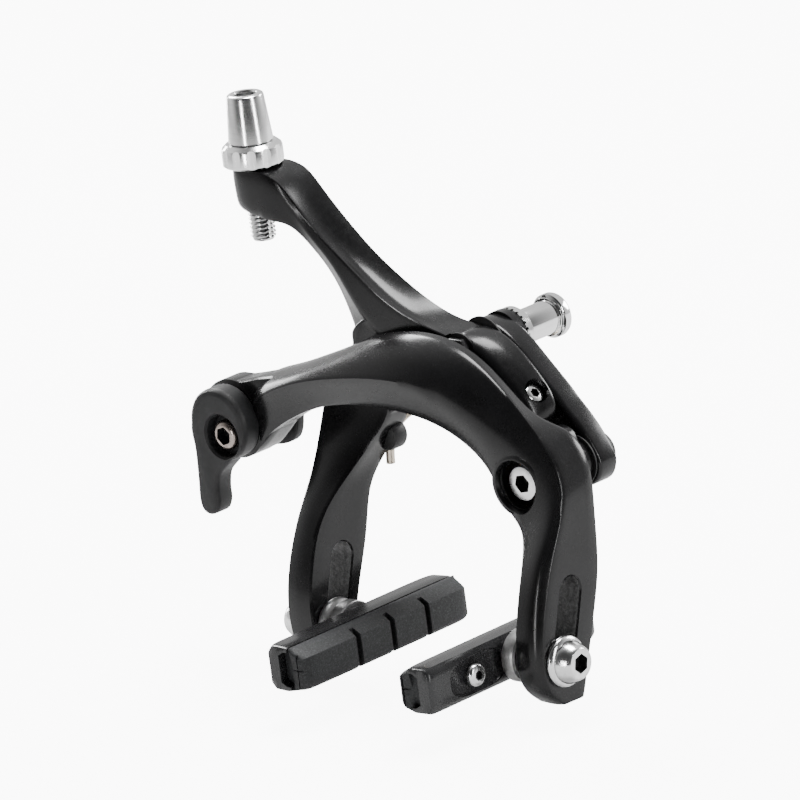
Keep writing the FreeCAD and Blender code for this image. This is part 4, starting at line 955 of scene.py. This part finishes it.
spring = bevel(clean(link("return_spring_piece", wire_mesh)), 0.25, 3, 50)
place(spring, "y_arm_body", "return_spring", SPRING, 45)
seat = lathe("spring_seat_piece", "y", [
    (0, -18.6), (2.7, -18.6), (3.3, -18.2), (3.5, -17.5), (3.5, -14.6), (3.2, -14.1), (0, -14.0)],
    (-28.4, 0, -23.0), 48)
place(seat, "y_arm_body", "spring_seat", NYLON)

# ---------------------------------------------------------------- CAD pieces kept as they are
KEPT = {"hub_shim_rear": NYLON, "hub_shim_front": NYLON, "pivot_shim": NYLON, "spring_stop": STEEL,
        "hub_bushing": BRONZE, "barrel_key": NYLON, "contact_pin": STEEL, "pivot_bushing": BRONZE}
for name, material in KEPT.items():
    node_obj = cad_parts[name]
    dress(node_obj, material)
    smooth(node_obj)

# ---------------------------------------------------------------- floor, light and camera
FLOOR_Z, REACH = -76, 2500      # height and half side of the floor
floor = from_lists("floor", [(x * REACH, y * REACH, FLOOR_Z)
                             for x, y in ((-1, -1), (1, -1), (1, 1), (-1, 1))], [(0, 1, 2, 3)])
floor_mat, floor_tree, floor_shader, _ = new_material("pale_floor")
floor_shader.inputs["Base Color"].default_value = (0.55, 0.55, 0.55, 1)
floor_shader.inputs["Emission Color"].default_value = (1, 1, 1, 1)
floor_path = floor_tree.nodes.new("ShaderNodeLightPath")
floor_glow = floor_tree.nodes.new("ShaderNodeMath")
floor_glow.operation = "MULTIPLY_ADD"
floor_glow.inputs[1].default_value = 8.5
floor_glow.inputs[2].default_value = 0.26
floor_tree.links.new(floor_path.outputs["Is Camera Ray"], floor_glow.inputs[0])
floor_tree.links.new(floor_glow.outputs[0], floor_shader.inputs["Emission Strength"])
floor_shader.inputs["Roughness"].default_value = 0.9
dress(floor, floor_mat)

world = bpy.data.worlds.new("studio")
bpy.context.scene.world = world
world.use_nodes = True
world_tree = world.node_tree
world_tree.nodes.clear()
world_out = world_tree.nodes.new("ShaderNodeOutputWorld")
background = world_tree.nodes.new("ShaderNodeBackground")
background.inputs["Color"].default_value = (1, 1, 1, 1)
world_tree.links.new(background.outputs[0], world_out.inputs["Surface"])

# Axes of the camera: right and up in the picture, and back from it to the camera.
RIGHT = Vector((0.72785, 0.67404, -0.12614))
UP = Vector((-0.09977, 0.28608, 0.95300))
BACK = Vector((0.67844, -0.68105, 0.27547))

# The studio is dark behind the camera and bright to the sides and behind the object.
world_coord = world_tree.nodes.new("ShaderNodeTexCoord")
facing = world_tree.nodes.new("ShaderNodeVectorMath")
facing.operation = "DOT_PRODUCT"
facing.inputs[1].default_value = BACK
world_tree.links.new(world_coord.outputs["Generated"], facing.inputs[0])
falloff = world_tree.nodes.new("ShaderNodeMapRange")
falloff.interpolation_type = "SMOOTHSTEP"
falloff.inputs["From Min"].default_value = -0.25
falloff.inputs["From Max"].default_value = 0.62
falloff.inputs["To Min"].default_value = 0.95
falloff.inputs["To Max"].default_value = 0.06
world_tree.links.new(facing.outputs["Value"], falloff.inputs["Value"])
world_tree.links.new(falloff.outputs["Result"], background.inputs["Strength"])


LIGHT_TARGET = (-15, -20, -18)


def area(name, direction, distance, width, height, power):
    """Soft box that looks at LIGHT_TARGET from a direction given in the object's axes."""
    light = bpy.data.lights.new(name, "AREA")
    light.shape = "RECTANGLE"
    light.size = width
    light.size_y = height
    light.energy = power
    obj = link(name, light)
    target = Vector(LIGHT_TARGET) * MM
    way = Vector(direction).normalized()
    obj.location = target + way * distance
    obj.rotation_euler = way.to_track_quat("Z", "Y").to_euler()


LIGHTS = [      # name, direction, distance (m), width and height (m), power (W)
    ("top_box", (0.02, 0.25, 1.0), 0.9, 0.42, 0.36, 15.0),
    ("left_back_box", (-0.72, 0.35, 0.62), 1.0, 0.28, 0.28, 8.0),
    ("left_strip", (-1.0, 0.25, 0.05), 0.9, 0.10, 0.7, 4.5),
    ("back_box", (0.35, 0.95, 0.35), 1.1, 0.4, 0.4, 9.0),
    ("right_strip", (1.0, -0.05, 0.30), 1.0, 0.10, 0.7, 5.0),
    ("front_strip", (0.20, -0.97, -0.02), 1.0, 0.07, 0.6, 4.0),
]
for light_args in LIGHTS:
    area(*light_args)

DISTANCE = 2.0                  # from the camera to the plane through the mounting bolt (m)
VIEW_WIDTH = 800.0 / 4.42       # width of the picture there, 4.42 pixels to the mm
SENSOR = 36.0
AIM_RIGHT, AIM_UP = -26.59, -15.98      # middle of the picture, from the mounting bolt
centre = (RIGHT * AIM_RIGHT + UP * AIM_UP) * MM
camera_data = bpy.data.cameras.new("camera")
camera_data.sensor_width = SENSOR
camera_data.lens = SENSOR * DISTANCE / (VIEW_WIDTH * MM)
camera_data.clip_start = 0.05
camera_data.clip_end = 20.0
camera = link("camera", camera_data)
turned = Matrix((RIGHT, UP, BACK)).transposed().to_4x4()
camera.matrix_world = Matrix.Translation(centre + BACK * DISTANCE) @ turned
bpy.context.scene.camera = camera

bpy.context.view_layer.update()
